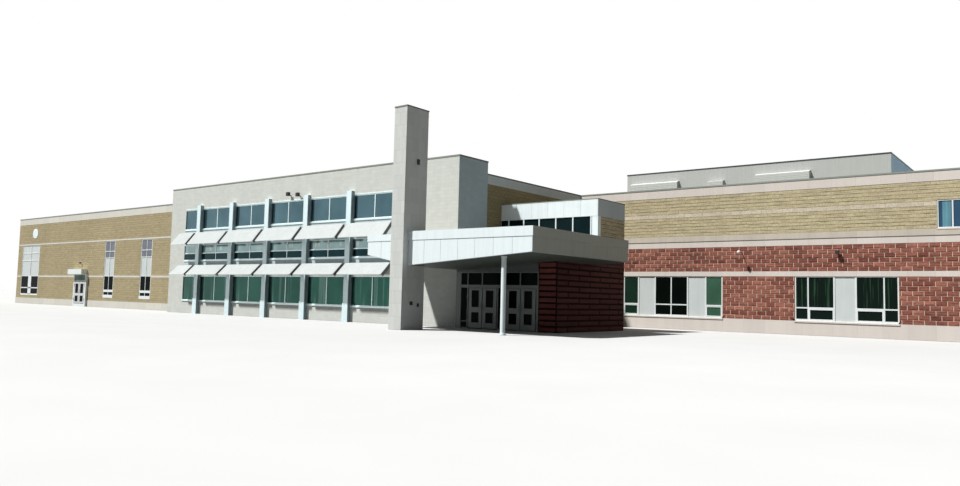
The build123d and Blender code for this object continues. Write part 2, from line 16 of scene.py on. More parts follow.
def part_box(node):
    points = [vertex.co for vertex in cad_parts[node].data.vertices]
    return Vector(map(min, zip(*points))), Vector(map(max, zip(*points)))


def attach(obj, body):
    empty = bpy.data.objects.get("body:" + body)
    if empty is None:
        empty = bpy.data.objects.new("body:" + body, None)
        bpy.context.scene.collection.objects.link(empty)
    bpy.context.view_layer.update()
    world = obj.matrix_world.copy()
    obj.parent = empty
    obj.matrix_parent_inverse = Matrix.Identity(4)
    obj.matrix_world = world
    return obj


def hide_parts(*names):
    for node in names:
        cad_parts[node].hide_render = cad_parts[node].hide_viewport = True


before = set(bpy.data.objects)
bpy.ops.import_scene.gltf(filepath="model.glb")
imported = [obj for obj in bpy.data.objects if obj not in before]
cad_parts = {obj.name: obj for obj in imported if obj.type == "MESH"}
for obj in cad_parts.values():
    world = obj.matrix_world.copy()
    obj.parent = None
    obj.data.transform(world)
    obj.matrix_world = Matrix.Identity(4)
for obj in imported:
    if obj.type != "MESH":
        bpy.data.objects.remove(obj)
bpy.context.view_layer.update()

# %% [markdown]
# The building was drawn in millimetres from the ground corner of the slab beside the
# entrance: X along the front, Y into the building, Z up. Pieces are modelled in that
# drawing, where numbers are easy to read, and one matrix moves each finished mesh into
# the row's metres. Its object then stays at the origin, as the CAD nodes do.

# %% Drawing millimetres to metres
METRES = 0.001
CORNER = Vector((1.4915, -1.446, 0.0))
TO_ROW = Matrix.Translation(CORNER) @ Matrix.Scale(METRES, 4)
FROM_ROW = TO_ROW.inverted()


def drawn_box(node):
    """Lowest and highest corners of a CAD node, in drawing millimetres."""
    low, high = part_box(node)
    return FROM_ROW @ low, FROM_ROW @ high


print("slab front", [tuple(round(c, 1) for c in p) for p in drawn_box("slab_front_wall")])

# %% [markdown]
# The picture is taken from right of the entrance, at eye height, and looks left along the
# front. The camera could be placed by eye, but its place, turn and lens were worked out
# from the building's vanishing lines, so that every edge falls where it should. A small
# roll is kept, because the photograph leans a little.

# %% Camera
YAW, PITCH, ROLL = (math.radians(a) for a in (-38.107, 4.129, 1.381))
EYE = Vector((4.130, -4.6144, 0.15525))
forward_flat = Vector((math.sin(YAW), math.cos(YAW), 0))
right_flat = Vector((math.cos(YAW), -math.sin(YAW), 0))
up_axis = Vector((0, 0, 1))
forward = math.cos(PITCH) * forward_flat + math.sin(PITCH) * up_axis
up = -math.sin(PITCH) * forward_flat + math.cos(PITCH) * up_axis
camera_right = math.cos(ROLL) * right_flat + math.sin(ROLL) * up
camera_up = -math.sin(ROLL) * right_flat + math.cos(ROLL) * up
camera_data = bpy.data.cameras.new("front_camera")
camera_data.lens, camera_data.sensor_width = 29.01, 36.0
camera_data.clip_start, camera_data.clip_end = 0.01, 200.0
camera = bpy.data.objects.new("front_camera", camera_data)
turn = Matrix((camera_right, camera_up, -forward)).transposed().to_4x4()
camera.matrix_world = Matrix.Translation(EYE) @ turn
bpy.context.collection.objects.link(camera)
bpy.context.scene.camera = camera
bpy.context.scene.view_settings.view_transform = "Standard"
print("camera at", tuple(EYE))

# %% [markdown]
# Node materials are wired with one small helper. It makes a node, sets its plain
# values, and links whatever is handed to it as a socket, so that each finish below
# reads as a short recipe. All patterns read Object coordinates, which are metres of
# the model and stay fixed to it.

# %% Helpers for finishes
class Finish:
    """A procedural material that is built node by node."""

    def __init__(self, name, roughness, metallic=0.0, specular=0.5):
        self.material = bpy.data.materials.new(name)
        self.material.use_nodes = True
        self.tree = self.material.node_tree
        self.shader = self.tree.nodes["Principled BSDF"]
        self.shader.inputs["Roughness"].default_value = roughness
        self.shader.inputs["Metallic"].default_value = metallic
        self.shader.inputs["Specular IOR Level"].default_value = specular
        self.place = self.add("TexCoord").outputs["Object"]

    def add(self, kind, inputs=None, **settings):
        """Make a node, set it up and link its inputs."""
        made = self.tree.nodes.new("ShaderNode" + kind)
        for key, value in settings.items():
            setattr(made, key, value)
        for key, value in (inputs or {}).items():
            self.feed(made.inputs[key], value)
        return made

    def feed(self, socket, value):
        if isinstance(value, bpy.types.NodeSocket):
            self.tree.links.new(value, socket)
        else:
            socket.default_value = value

    def math(self, operation, a, b=0.0):
        return self.add("Math", {0: a, 1: b}, operation=operation).outputs[0]

    def stretch(self, scale):
        """Object coordinates, scaled along each axis."""
        return self.add("Mapping", {"Vector": self.place, "Scale": scale}).outputs[0]

    def noise(self, scale, detail=3.0, vector=None):
        return self.add("TexNoise", {"Vector": vector or self.place, "Scale": scale,
                                     "Detail": detail}).outputs[0]

    def ramp(self, factor, *stops, interpolation="LINEAR"):
        """Colours along a factor: stops are (position, colour)."""
        made = self.add("ValToRGB", {"Fac": factor})
        band = made.color_ramp
        band.interpolation = interpolation
        while len(band.elements) < len(stops):
            band.elements.new(0.5)
        for element, (position, colour) in zip(band.elements, stops):
            element.position = position
            element.color = (*colour, 1) if len(colour) == 3 else colour
        return made.outputs["Color"]

    def mix(self, factor, a, b, blend="MIX"):
        made = self.add("Mix", data_type="RGBA", blend_type=blend)
        for socket, value in zip((made.inputs[0], made.inputs[6], made.inputs[7]), (factor, a, b)):
            if isinstance(value, tuple) and len(value) == 3:
                value = (*value, 1)
            self.feed(socket, value)
        return made.outputs[2]

    def tint(self, colour, *layers):
        """A colour multiplied by each layer in turn."""
        for layer in layers:
            colour = self.mix(1.0, colour, layer, "MULTIPLY")
        return colour

    def rain(self, streaks):
        """Streaks that run down a wall, as a factor of one or a little less."""
        drops = self.noise(9.0, 4, self.stretch((7, 7, 0.4)))
        return self.ramp(drops, (0.35, grey(1 - streaks)), (0.62, grey(1.0)))

    def paint(self, colour, rough=None):
        self.feed(self.shader.inputs["Base Color"], colour)
        if rough is not None:
            self.feed(self.shader.inputs["Roughness"], rough)
        return self

    def bump(self, height, distance, strength=1.0):
        """Relief of so many metres, on top of any relief that is there."""
        made = self.add("Bump", {"Height": height, "Distance": distance, "Strength": strength})
        socket = self.shader.inputs["Normal"]
        if socket.links:
            self.feed(made.inputs["Normal"], socket.links[0].from_socket)
        self.feed(socket, made.outputs[0])
        return self

    def axis(self, index):
        return self.add("SeparateXYZ", {0: self.place}).outputs[index]

    def facing(self):
        """How far a face looks to the right, from -1 to 1."""
        return self.add("SeparateXYZ", {0: self.add("NewGeometry").outputs["Normal"]}).outputs[0]

    def looks_right(self):
        """One on faces that look to the right, nought on the others."""
        return self.math("GREATER_THAN", self.facing(), 0.6)

    def wall_flat(self):
        """Coordinates along and up whichever wall a point is on."""
        spot = self.add("SeparateXYZ", {0: self.place}).outputs
        sideways = self.math("GREATER_THAN", self.math("ABSOLUTE", self.facing()), 0.5)
        along = self.add("Mix", {0: sideways, 2: spot[0], 3: spot[1]}, data_type="FLOAT").outputs[0]
        return self.add("CombineXYZ", {0: along, 1: spot[2]}).outputs[0]


def shade(colour, factor):
    return tuple(min(1.0, c * factor) for c in colour)


def grey(level):
    return (level,) * 3


print("finish helper ready")

# %% [markdown]
# Blocks and bricks. Each unit of the real walls differs a little in tone, and the red
# ones have a rough split face. The units are modelled, so their finish reads a tone
# that is stored on every unit, and adds grain, pits and the relief of the stone.

# %% Finishes of the masonry units and their mortar
def unit_finish(name, dark, light, grain=160, relief=0.0006, pits=700, layers=0.0):
    """Stone of a modelled unit: its own tone, then clouds, grain and relief in metres.
    Grain and pits are noise scales, and layers is the strength of the level streaks: painted
    shade in the dips of the split face and a little painted light on its ridges."""
    f = Finish(name, 0.85, specular=0.2)
    tone = f.add("Attribute", attribute_name="tone").outputs["Fac"]
    cloud = f.noise(grain, 4)
    base = f.ramp(tone, (0.0, dark), (1.0, light))
    spots = f.ramp(cloud, (0.35, grey(0.80)), (0.62, (1.08, 1.07, 1.05)))
    stain = f.ramp(f.noise(2.2, 3, f.stretch((1, 1, 0.35))), (0.3, grey(0.92)), (0.7, grey(1.04)))
    if layers:
        split_face = f.noise(150, 2, f.stretch((0.08, 0.08, 1)))
        # The streaks follow the split face's relief: its dips are painted darker as shade, and its ridges a
        # little lighter as light.
        split_face_shade = f.ramp(split_face, (0.36, grey(1 - layers)), (0.50, grey(1.0)), (0.70, grey(1 + layers / 3)))
        base = f.tint(base, split_face_shade)
        f.bump(split_face, relief)
    f.paint(f.tint(base, spots, stain), f.add("MapRange", {0: cloud, 3: 0.75, 4: 0.95}).outputs[0])
    f.bump(f.noise(pits, 3), relief * 0.4)
    f.bump(f.noise(grain * 0.8, 2), relief)
    return f.material


def mortar_finish(name, colour, patched=None):
    """Struck mortar: sandy and a little uneven, with long patches of another tone if one is given."""
    f = Finish(name, 0.95, specular=0.1)
    sand = f.ramp(f.noise(300, 2), (0.3, shade(colour, 0.82)), (0.7, shade(colour, 1.08)))
    if patched:
        reach = f.ramp(f.noise(34, 2, f.stretch((0.35, 0.35, 1))), (0.46, grey(0)), (0.58, grey(1)))
        sand = f.mix(reach, sand, patched)
    f.paint(sand)
    f.bump(f.noise(900, 2), 0.0004)
    return f.material


wing_stone = unit_finish("tan_wing_block", (0.425, 0.355, 0.215), (0.50, 0.425, 0.265), layers=0.12)
tan_stone = unit_finish("tan_split_block", (0.55, 0.465, 0.30), (0.62, 0.55, 0.355),
                        relief=0.0008, layers=0.22)
red_stone = unit_finish("red_rock_face_block", (0.19, 0.058, 0.042), (0.46, 0.19, 0.138),
                        grain=110, relief=0.0018, pits=500, layers=0.4)
flank_stone = unit_finish("dark_red_flank_brick", (0.17, 0.050, 0.045), (0.26, 0.085, 0.070),
                          grain=140, relief=0.0008)
# The lobby's right side bricks are the flank's red darkened further: painted shade.
painted_shade_red_brick = unit_finish("shade_darkened_red_side_brick", (0.065, 0.020, 0.018), (0.11, 0.036, 0.030),
                         grain=140, relief=0.0008)
accent_stone = unit_finish("pale_accent_block", (0.66, 0.575, 0.45), (0.74, 0.66, 0.53),
                           relief=0.0004, layers=0.10)
# The short tan wall beside the slab faces right, and its blocks and mortar are painted darker: painted
# shade.
side_stone = unit_finish("shaded_tan_block", (0.28, 0.235, 0.135), (0.33, 0.28, 0.165), layers=0.10)
tan_mortar = mortar_finish("tan_mortar", (0.54, 0.46, 0.295))
# The bed mortars are darker than the head joints: painted shade under each course of proud blocks, with
# patches of the mortar's own tone where patched is given.
tan_bed = mortar_finish("shade_darkened_tan_bed_mortar", (0.095, 0.064, 0.030), (0.36, 0.29, 0.17))
wing_bed = mortar_finish("wing_bed_mortar", (0.34, 0.28, 0.165))
side_mortar = mortar_finish("shaded_tan_mortar", (0.24, 0.195, 0.11))
red_mortar = mortar_finish("pale_mortar", (0.76, 0.62, 0.50))
red_bed = mortar_finish("shade_darkened_red_bed_mortar", (0.40, 0.255, 0.20), (0.72, 0.58, 0.47))
flank_mortar = mortar_finish("black_flank_mortar", (0.014, 0.005, 0.004))
print("masonry finishes:", [m.name for m in (wing_stone, tan_stone, red_stone, accent_stone, red_mortar)])

# %% [markdown]
# The slab and the pylon are ground-face blocks whose thin joints nearly vanish at this
# distance. They could be laid block by block, as the rough walls are further down, but
# they are smooth enough to stay plain CAD walls: a Brick texture along each wall gives
# the courses as a shallow groove, with a slight change from block to block. The bands
# are long cast stones, so their course is taller than any band and leaves only upright
# joints. The walls behind the modelled blocks show as thin edges, and match them.

# %% Finishes of plain CAD walls
def course_finish(name, colour, unit, course, joint, darker, spread=0.04, streaks=0.06, right_shade_tint=None):
    """Flat masonry with a groove at each joint, with sizes in metres. Darker is the joint's
    tone as a share of the stone's, and the right shade tint is painted shade for faces that look right."""
    f = Finish(name, 0.85, specular=0.25)
    bricks = f.add("TexBrick", {"Vector": f.wall_flat(), "Color1": (*shade(colour, 1 - spread), 1),
                                "Color2": (*shade(colour, 1 + spread), 1),
                                "Mortar": (*shade(colour, darker), 1), "Scale": 1.0, "Mortar Size": joint,
                                "Mortar Smooth": 0.2, "Brick Width": unit, "Row Height": course})
    grain = f.ramp(f.noise(420, 3), (0.3, grey(0.95)), (0.7, grey(1.03)))
    drops = f.noise(5.0, 4, f.stretch((6, 6, 0.5)))
    wash = f.ramp(drops, (0.35, grey(1 - streaks)), (0.65, grey(1 + streaks / 2)))
    base = bricks.outputs["Color"]
    if right_shade_tint:
        base = f.tint(base, f.mix(f.looks_right(), grey(1), right_shade_tint))
    f.paint(f.tint(base, grain, wash))
    f.bump(f.math("SUBTRACT", 1.0, bricks.outputs["Fac"]), joint * 0.6)
    f.bump(f.noise(900, 3), 0.0002)
    return f.material


BAND_STONE = {"unit": 0.120, "course": 3.0, "joint": 0.0006, "darker": 0.92}
# The faces of the slab and the bands that look right get painted shade: a darker, bluer tint.
pale_block = course_finish("pale_ground_block", (0.66, 0.675, 0.63), 0.040, 0.020, 0.0005, 0.92,
                           streaks=0.025, right_shade_tint=(0.68, 0.79, 0.90))
pylon_block = course_finish("pale_pylon_block", (0.675, 0.69, 0.665), 0.041, 0.0615, 0.0007, 0.90,
                            streaks=0.03)
pale_band = course_finish("pale_cast_stone", (0.72, 0.655, 0.60), **BAND_STONE, streaks=0.03,
                          right_shade_tint=(0.80, 0.98, 1.08))
wing_band = course_finish("pale_wing_stone", (0.70, 0.68, 0.61), **BAND_STONE, streaks=0.03)
cap_stone = course_finish("weathered_cap_stone", (0.60, 0.54, 0.46), **BAND_STONE)
tan_wall = course_finish("tan_inner_block", (0.47, 0.395, 0.245), 0.0395, 0.0197, 0.0010, 0.8, spread=0.1)
red_wall = course_finish("red_inner_block", (0.30, 0.135, 0.095), 0.058, 0.0244, 0.0028, 2.0, spread=0.15)
# The lobby's own wall is painted as dark as its shade-darkened side bricks.
lobby_wall = course_finish("shade_darkened_red_lobby_wall", (0.075, 0.025, 0.022), 0.210, 0.0275, 0.006, 0.25)
print("wall finishes:", [m.name for m in (pale_block, pylon_block, pale_band, tan_wall, red_wall)])

# %% [markdown]
# Painted sheet metal covers the fins, fascias, frames, doors and copings. Real paint
# is never one colour: it has soft cloudy fading, rain streaks that run down, and a
# faint orange-peel relief. The same recipe with other numbers gives every paint here,
# and a pitch adds pressed grooves across the soffit's boards.

# %% Finishes of painted metal
ORANGE_PEEL = 0.00008


def paint_finish(name, colour, roughness=0.42, streaks=0.05, cloud=0.04, grooves=0.0, metallic=0.0):
    """Weathered paint on metal. Grooves is the pitch of pressed grooves along X, in metres."""
    f = Finish(name, roughness, metallic, 0.4)
    faded = f.ramp(f.noise(14.0, 3), (0.3, shade(colour, 1 - cloud)), (0.7, shade(colour, 1 + cloud)))
    f.paint(f.tint(faded, f.rain(streaks)),
            f.add("MapRange", {0: f.noise(40, 3), 3: roughness - 0.08, 4: roughness + 0.1}).outputs[0])
    f.bump(f.noise(1500, 2), ORANGE_PEEL)
    if grooves:
        step = f.math("FRACT", f.math("DIVIDE", f.axis(0), grooves))
        f.bump(f.math("GREATER_THAN", step, 0.08), 0.0015)
    return f.material


white_paint = paint_finish("white_fascia_paint", (0.865, 0.95, 0.97))
shade_paint = paint_finish("offwhite_shade_paint", (0.455, 0.485, 0.48), 0.5, 0.08)
frame_white = paint_finish("white_frame_paint", (0.82, 0.87, 0.87), 0.4)
slab_frame_paint = paint_finish("pale_anodised_frame", (0.80, 0.93, 0.94), 0.4, metallic=0.6)
# The slab frames' left jambs are painted dark, as the shadow of the fin beside them.
fin_shadow_jamb_paint = paint_finish("painted_fin_shadow_jamb", (0.10, 0.14, 0.15), 0.45)
panel_white = paint_finish("white_panel_enamel", (0.62, 0.665, 0.66), 0.45, 0.04, 0.03)
spandrel_paint = paint_finish("pale_blue_panel_enamel", (0.55, 0.67, 0.70), 0.45, 0.08, 0.05)
# A dark strip under the ledge's cap course: painted shadow.
ledge_shadow_paint = paint_finish("painted_ledge_shadow", (0.10, 0.10, 0.095), 0.45, 0.15, 0.12)
frame_green = paint_finish("grey_green_frame_paint", (0.16, 0.185, 0.175), 0.38)
head_green = paint_finish("dark_green_head_paint", (0.070, 0.085, 0.078), 0.45)
soffit_paint = paint_finish("grey_green_soffit_paint", (0.085, 0.10, 0.085), 0.5, grooves=0.030)
door_paint = paint_finish("grey_door_paint", (0.22, 0.25, 0.235), 0.38)
wing_door_paint = paint_finish("white_door_paint", (0.66, 0.68, 0.68), 0.4)
bracket_metal = paint_finish("dark_bracket_metal", (0.13, 0.13, 0.13), 0.5)
gasket = paint_finish("dark_rubber_bead", (0.018, 0.02, 0.02), 0.6)
lamp_metal = paint_finish("dark_lamp_metal", (0.018, 0.016, 0.016), 0.6)
globe_glass = paint_finish("white_globe_glass", (0.80, 0.80, 0.78), 0.25, 0.02, 0.02)
print("painted finishes made")

# %% [markdown]
# Some parts have painted shade on the faces that look right, away from the key light.
# The penthouse siding is warm grey in front, and its right-hand end is painted a pale blue,
# as shade lit by the blue sky. The fins, the fascia, the louvres, the hoods and the copings
# are painted darker there. The face's own normal chooses between the two, and the pylon's
# cap, above all others, has a darker tone of its own.

# %% Finishes with painted shade on the right
def right_shade_finish(name, front, right, roughness=0.5, metallic=0.0, above=None):
    """Painted shade: one colour for faces that look right, away from the key light, another for the rest.
    Above is (height, colour).
    """
    f = Finish(name, roughness, metallic, 0.35)
    colour = f.mix(f.looks_right(), front, right)
    if above:
        colour = f.mix(f.math("GREATER_THAN", f.axis(2), above[0]), colour, above[1])
    f.paint(f.tint(colour, f.rain(0.05)))
    f.bump(f.noise(1500, 2), ORANGE_PEEL)
    return f.material


siding_paint = right_shade_finish("warm_grey_siding", (0.465, 0.475, 0.455), (0.32, 0.56, 0.76))
fin_paint = right_shade_finish("white_fin_paint", (0.76, 0.90, 0.93), (0.26, 0.34, 0.36), metallic=0.35)
fascia_paint = right_shade_finish("white_fascia_sheet_paint", (0.87, 0.955, 0.975), (0.40, 0.42, 0.37), 0.42)
louvre_paint = right_shade_finish("grey_louvre_paint", (0.53, 0.55, 0.52), (0.34, 0.35, 0.33))
hood_paint = right_shade_finish("white_hood_paint", (0.86, 0.87, 0.86), (0.09, 0.09, 0.085), 0.45)
coping_metal = right_shade_finish("coping_metal", (0.27, 0.30, 0.265), (0.055, 0.065, 0.065), 0.45,
                               above=(1.08, (0.035, 0.045, 0.045)))
print("two-tone finishes made")

# %% [markdown]
# The roofs are loose gravel on felt, and the floors are trowelled concrete. Both are seen
# from above or through glass only, so a Voronoi pattern of pebbles as colour and
# relief is enough for the gravel, and clouds with hairline pores for the concrete.

# %% Finishes of roofs and floors
def gravel_finish(name, colour):
    """Loose pebbles, each with a tone of its own."""
    f = Finish(name, 0.9, specular=0.2)
    stones = f.add("TexVoronoi", {"Vector": f.place, "Scale": 150.0})
    tone = f.add("SeparateColor", {0: stones.outputs["Color"]}).outputs[0]
    patch = f.ramp(f.noise(3.0, 3), (0.35, grey(0.86)), (0.65, grey(1.05)))
    f.paint(f.tint(f.ramp(tone, (0.0, shade(colour, 0.65)), (1.0, shade(colour, 1.35))), patch))
    f.bump(f.math("SUBTRACT", 1.0, stones.outputs["Distance"]), 0.002)
    return f.material


def concrete_finish(name, colour):
    """Trowelled concrete with clouds and fine pores."""
    f = Finish(name, 0.75, specular=0.3)
    cloud = f.ramp(f.noise(4.0, 5), (0.3, shade(colour, 0.82)), (0.7, shade(colour, 1.12)))
    pores = f.ramp(f.noise(350, 2), (0.3, shade(colour, 0.7)), (0.7, shade(colour, 1.2)))
    f.paint(f.mix(0.35, cloud, pores))
    f.bump(f.noise(500, 3), 0.0002)
    return f.material


gravel = gravel_finish("roof_gravel", (0.36, 0.35, 0.33))
concrete = concrete_finish("trowelled_concrete", (0.40, 0.39, 0.37))
print("roof and floor finishes made")

# %% [markdown]
# Window glass looks dark by day and shows a little of what hangs behind it: blinds,
# curtains, and the sky it reflects in the upper rows. Here a base colour carries what is
# behind the pane, and in the slab's top row a painted reflection of the sky. It changes by
# height, or along the wall where one light is greener than the next, and curtain folds are
# bands along the wall. The shine is low, as in shade.

# %% Finishes of glass
HALF_MODEL = 4.6
STOREY = 0.5
FIN_SHADOW = (0.22, 0.28, 0.30)


def pane_finish(name, levels, folds=(), lights=None, specular=0.12, mirror=0.0, shadow=None):
    """Levels are (height, colour); lights are (place along X, colour) in the ground storey;
    folds are (from X, to X, from height, to height, colour, scale, cut), all in metres.
    Mirror is how much of the pane is a tinted reflective coating. Shadow is (a bay's left
    edge, pitch of the bays, width) of the dark strip that stands beside each fin."""
    f = Finish(name, 0.12, mirror, specular)
    up, across = f.axis(2), f.axis(0)

    def between(value, low, high):
        return f.math("MULTIPLY", f.math("GREATER_THAN", value, low), f.math("LESS_THAN", value, high))

    colour = f.ramp(up, *levels, interpolation="CONSTANT")
    if lights:
        by_light = f.ramp(f.math("DIVIDE", across, HALF_MODEL),
                          *((x / HALF_MODEL, tone) for x, tone in lights), interpolation="CONSTANT")
        colour = f.mix(f.math("GREATER_THAN", up, STOREY), by_light, colour)
    for left, right, low, high, pale, scale, cut in folds:
        inside = between(up, low, high)
        there = between(across, left, right)
        drape = f.noise(scale, 2, f.stretch((1, 1, 0.03)))
        cloth = f.ramp(drape, (cut, grey(0)), (cut + 0.06, grey(1)))
        pleats = f.noise(scale * 7, 1, f.stretch((1, 1, 0.02)))
        pleat = f.ramp(pleats, (0.3, shade(pale, 0.55)), (0.7, pale))
        colour = f.mix(f.math("MULTIPLY", f.math("MULTIPLY", inside, there), cloth), colour, pleat)
    if shadow:
        edge, pitch, width = shadow
        step = f.math("FRACT", f.math("DIVIDE", f.math("SUBTRACT", across, edge), pitch))
        strip = f.math("LESS_THAN", step, width / pitch)
        colour = f.tint(colour, f.mix(strip, grey(1), FIN_SHADOW))
    cloud = f.ramp(f.noise(6.0, 3), (0.3, grey(0.8)), (0.7, grey(1.15)))
    f.paint(f.tint(colour, cloud))
    f.bump(f.noise(3.0, 1), 0.0006)
    return f.material


# SKY_REFLECTION is the sky's reflection, painted into the slab's top row.
SKY_REFLECTION = (0.092, 0.172, 0.205)
BLIND = (0.28, 0.40, 0.40)
NIGHT = (0.011, 0.038, 0.045)
TEAL = (0.030, 0.100, 0.078)
BLACK = (0.003, 0.005, 0.004)
DUSK = (0.006, 0.013, 0.010)
DIM_GREEN = (0.012, 0.034, 0.022)
GREEN = (0.052, 0.125, 0.080)
slab_pane = pane_finish("slab_window_glass", ((0.0, TEAL), (0.33, NIGHT), (0.437, BLIND), (0.55, SKY_REFLECTION)),
                        ((-4.6, 4.6, 0.09, 0.28, (0.11, 0.22, 0.185), 30, 0.58),
                         (-4.6, 4.6, 0.455, 0.50, (0.46, 0.58, 0.56), 9, 0.50)), mirror=0.85,
                        shadow=(0.6745, 0.3995, 0.018))
block_pane = pane_finish("block_window_glass", ((0.0, BLACK), (0.5, (0.04, 0.095, 0.165))),
                         ((2.86, 3.40, 0.15, 0.33, (0.030, 0.078, 0.042), 105, 0.54),
                          (3.575, 3.612, 0.55, 0.72, (0.16, 0.36, 0.44), 10, 0.2),
                          (4.205, 4.242, 0.55, 0.72, (0.16, 0.36, 0.44), 10, 0.2)),
                         ((0.0, DIM_GREEN), (1.97, BLACK), (2.29, GREEN), (2.69, DUSK), (3.74, DIM_GREEN),
                          (3.94, BLACK), (4.27, GREEN)), specular=0.03)
wing_pane = pane_finish("wing_window_glass", ((0.0, BLACK), (0.30, (0.22, 0.23, 0.27))),
                        ((-3.25, -3.0, 0.24, 0.30, (0.22, 0.40, 0.30), 2, 0.0),), specular=0.02)
door_pane = pane_finish("entrance_dark_glass",
                        ((0.0, (0.002, 0.004, 0.003)), (0.43, (0.006, 0.016, 0.018))), specular=0.02)
print("glass finishes made")

# %% [markdown]
# Every CAD node now gets its finish. The nodes keep their meshes and their places, and
# only the material slots change, so the solids that the physics uses are what shows.

# %% Dress the CAD nodes
NODE_FINISH = {
    pale_block: ("slab_front_wall", "slab_end_walls"),
    pylon_block: ("pylon",),
    pale_band: ("block_bands",),
    wing_band: ("wing_bands",),
    tan_wall: ("side_wall", "tan_upper_walls", "block_end_wall", "wing_wall_left", "wing_wall_right",
               "wing_wall_at_door", "wing_end_wall", "lobby_rear_wall", "clerestory_side_wall"),
    red_wall: ("red_lower_walls",),
    lobby_wall: ("lobby_red_wall",),
    white_paint: ("canopy_column", "clerestory_fascia", "wing_plaque"),
    fascia_paint: ("canopy_fascia",),
    fin_paint: ("white_fins",),
    shade_paint: ("sunshades",),
    panel_white: ("white_panels",),
    frame_white: ("wing_porch",),
    coping_metal: ("copings",),
    frame_green: ("entrance_frame",),
    soffit_paint: ("canopy_soffit",),
    door_paint: ("entrance_leaf_1", "entrance_leaf_2", "entrance_leaf_3", "entrance_leaf_4"),
    wing_door_paint: ("wing_leaf_left", "wing_leaf_right"),
    siding_paint: ("penthouse",),
    hood_paint: ("roof_hoods",),
    bracket_metal: ("shade_brackets",),
    lamp_metal: ("wall_lamps",),
    gravel: ("roofs", "canopy_deck"),
    concrete: ("ground_floor", "upper_floor"),
    slab_pane: ("slab_glass",),
    block_pane: ("block_glass",),
    wing_pane: ("wing_glass",),
    door_pane: ("entrance_glass",),
}
dressed = set()
for finish, names in NODE_FINISH.items():
    for node in names:
        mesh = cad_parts[node].data
        mesh.materials.clear()
        mesh.materials.append(finish)
        dressed.add(node)
print(len(dressed), "CAD nodes dressed; left:", sorted(set(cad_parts) - dressed))

# %% [markdown]
# New pieces could be drawn in place, but each wall would then need code of its own. So
# they are drawn flat on a wall's own drawing board: along the wall, up, and out of it.
# One matrix per side of the building stands the drawing up. On the rear and the left side
# the along coordinate runs the other way, so that faces keep pointing out. Trim stays a
# tenth of a millimetre off its wall, because two faces in one plane render as speckles.

# %% Drawing boards and small modelling helpers
OFF_WALL = 0.1
SIDES = {"front": ((1, 0), (0, -1)), "right": ((0, 1), (1, 0)),
         "rear": ((-1, 0), (0, 1)), "left": ((0, -1), (-1, 0))}


def board(facing, plane):
    """Matrix from a wall's drawing (along, up, out) to the building's."""
    (ax, ay), (ox, oy) = SIDES[facing]
    return Matrix(((ax, 0, ox, plane * abs(ox)), (ay, 0, oy, plane * abs(oy)), (0, 1, 0, 0), (0, 0, 0, 1)))


def along(facing, a, b):
    """A stretch of X or Y as the wall's own drawing counts it."""
    return (a, b) if facing in ("front", "right") else (-b, -a)


def add_bar(bm, u0, u1, v0, v1, w0, w1, edge=0.4, kind=0):
    """A bar with bevelled edges between two corners."""
    size = Matrix.Diagonal((u1 - u0, v1 - v0, w1 - w0, 1))
    middle = Matrix.Translation(((u0 + u1) / 2, (v0 + v1) / 2, (w0 + w1) / 2))
    made = bmesh.ops.create_cube(bm, size=1.0, matrix=middle @ size)
    for face in {f for v in made["verts"] for f in v.link_faces}:
        face.material_index = kind
    edges = list({e for v in made["verts"] for e in v.link_edges})
    bmesh.ops.bevel(bm, geom=edges, offset=edge, offset_type="OFFSET", segments=1, profile=0.5,
                    affect="EDGES", material=-1)


def add_piece(name, bm, finishes, body="root", smooth_angle=None):
    """Finish a mesh in the building's drawing as a piece that rides on a body."""
    bm.transform(TO_ROW)
    bm.normal_update()
    mesh = bpy.data.meshes.new(name)
    bm.to_mesh(mesh)
    bm.free()
    for finish in finishes:
        mesh.materials.append(finish)
    if smooth_angle:
        mesh.shade_smooth()
        mesh.set_sharp_from_angle(angle=math.radians(smooth_angle))
    piece = bpy.data.objects.new(name, mesh)
    bpy.context.collection.objects.link(piece)
    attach(piece, body)
    print(name, sum(len(p.vertices) - 2 for p in mesh.polygons), "triangles")
    return piece


def hang(name, bm, facing, plane, finishes, body="root", lift=0.0):
    """Stand a drawing up on its side of the building, lifted off the wall, as a piece."""
    bm.transform(board(facing, plane) @ Matrix.Translation((0, 0, lift)))
    return add_piece(name, bm, finishes, body)


def join(bm, extra, matrix=None):
    """Add one mesh to another, and free it."""
    if matrix:
        extra.transform(matrix)
    mesh = bpy.data.meshes.new("joined")
    extra.to_mesh(mesh)
    extra.free()
    bm.from_mesh(mesh)
    bpy.data.meshes.remove(mesh)


print("drawing boards ready:", ", ".join(SIDES))

# %% [markdown]
# The tan and red walls are running bond: rows of equal blocks, each row shifted by half
# a block. A row could be an array of cubes, but a flat strip of faces is lighter. Each
# strip is cut at the wall's ends and round the openings with planes, as a mason cuts
# blocks.

# %% Courses of blocks as flat strips
INSIDE = -0.05


def lay_rows(bm, tone, dice, left, right, bottom, top, unit, course, kind):
    """Strips of faces, one a course, trimmed at both ends."""
    rows = max(1, round((top - bottom) / course))
    height = (top - bottom) / rows
    count = int((right - left) / unit) + 2
    for row in range(rows):
        start = left - unit * (0.5 + 0.5 * (row % 2))
        middle = Matrix.Translation((start + count * unit / 2, bottom + (row + 0.5) * height, 0))
        strip = bmesh.ops.create_grid(bm, x_segments=count, y_segments=1, size=0.5,
                                      matrix=middle @ Matrix.Diagonal((count * unit, height, 1, 1)))
        faces = {f for v in strip["verts"] for f in v.link_faces}
        row_tone = dice.random()
        for face in sorted(faces, key=lambda f: f.calc_center_median().x):
            face[tone] = 0.3 * row_tone + 0.7 * dice.random()
            face.material_index = kind
        for place, outward in ((left, -1), (right, 1)):
            live = [f for f in faces if f.is_valid]
            verts = {v for f in live for v in f.verts}
            edges = {e for f in live for e in f.edges}
            made = bmesh.ops.bisect_plane(bm, geom=live + list(edges) + list(verts), plane_co=(place, 0, 0),
                                          plane_no=(outward, 0, 0), clear_outer=True)
            faces = {g for g in made["geom"] if isinstance(g, bmesh.types.BMFace)}


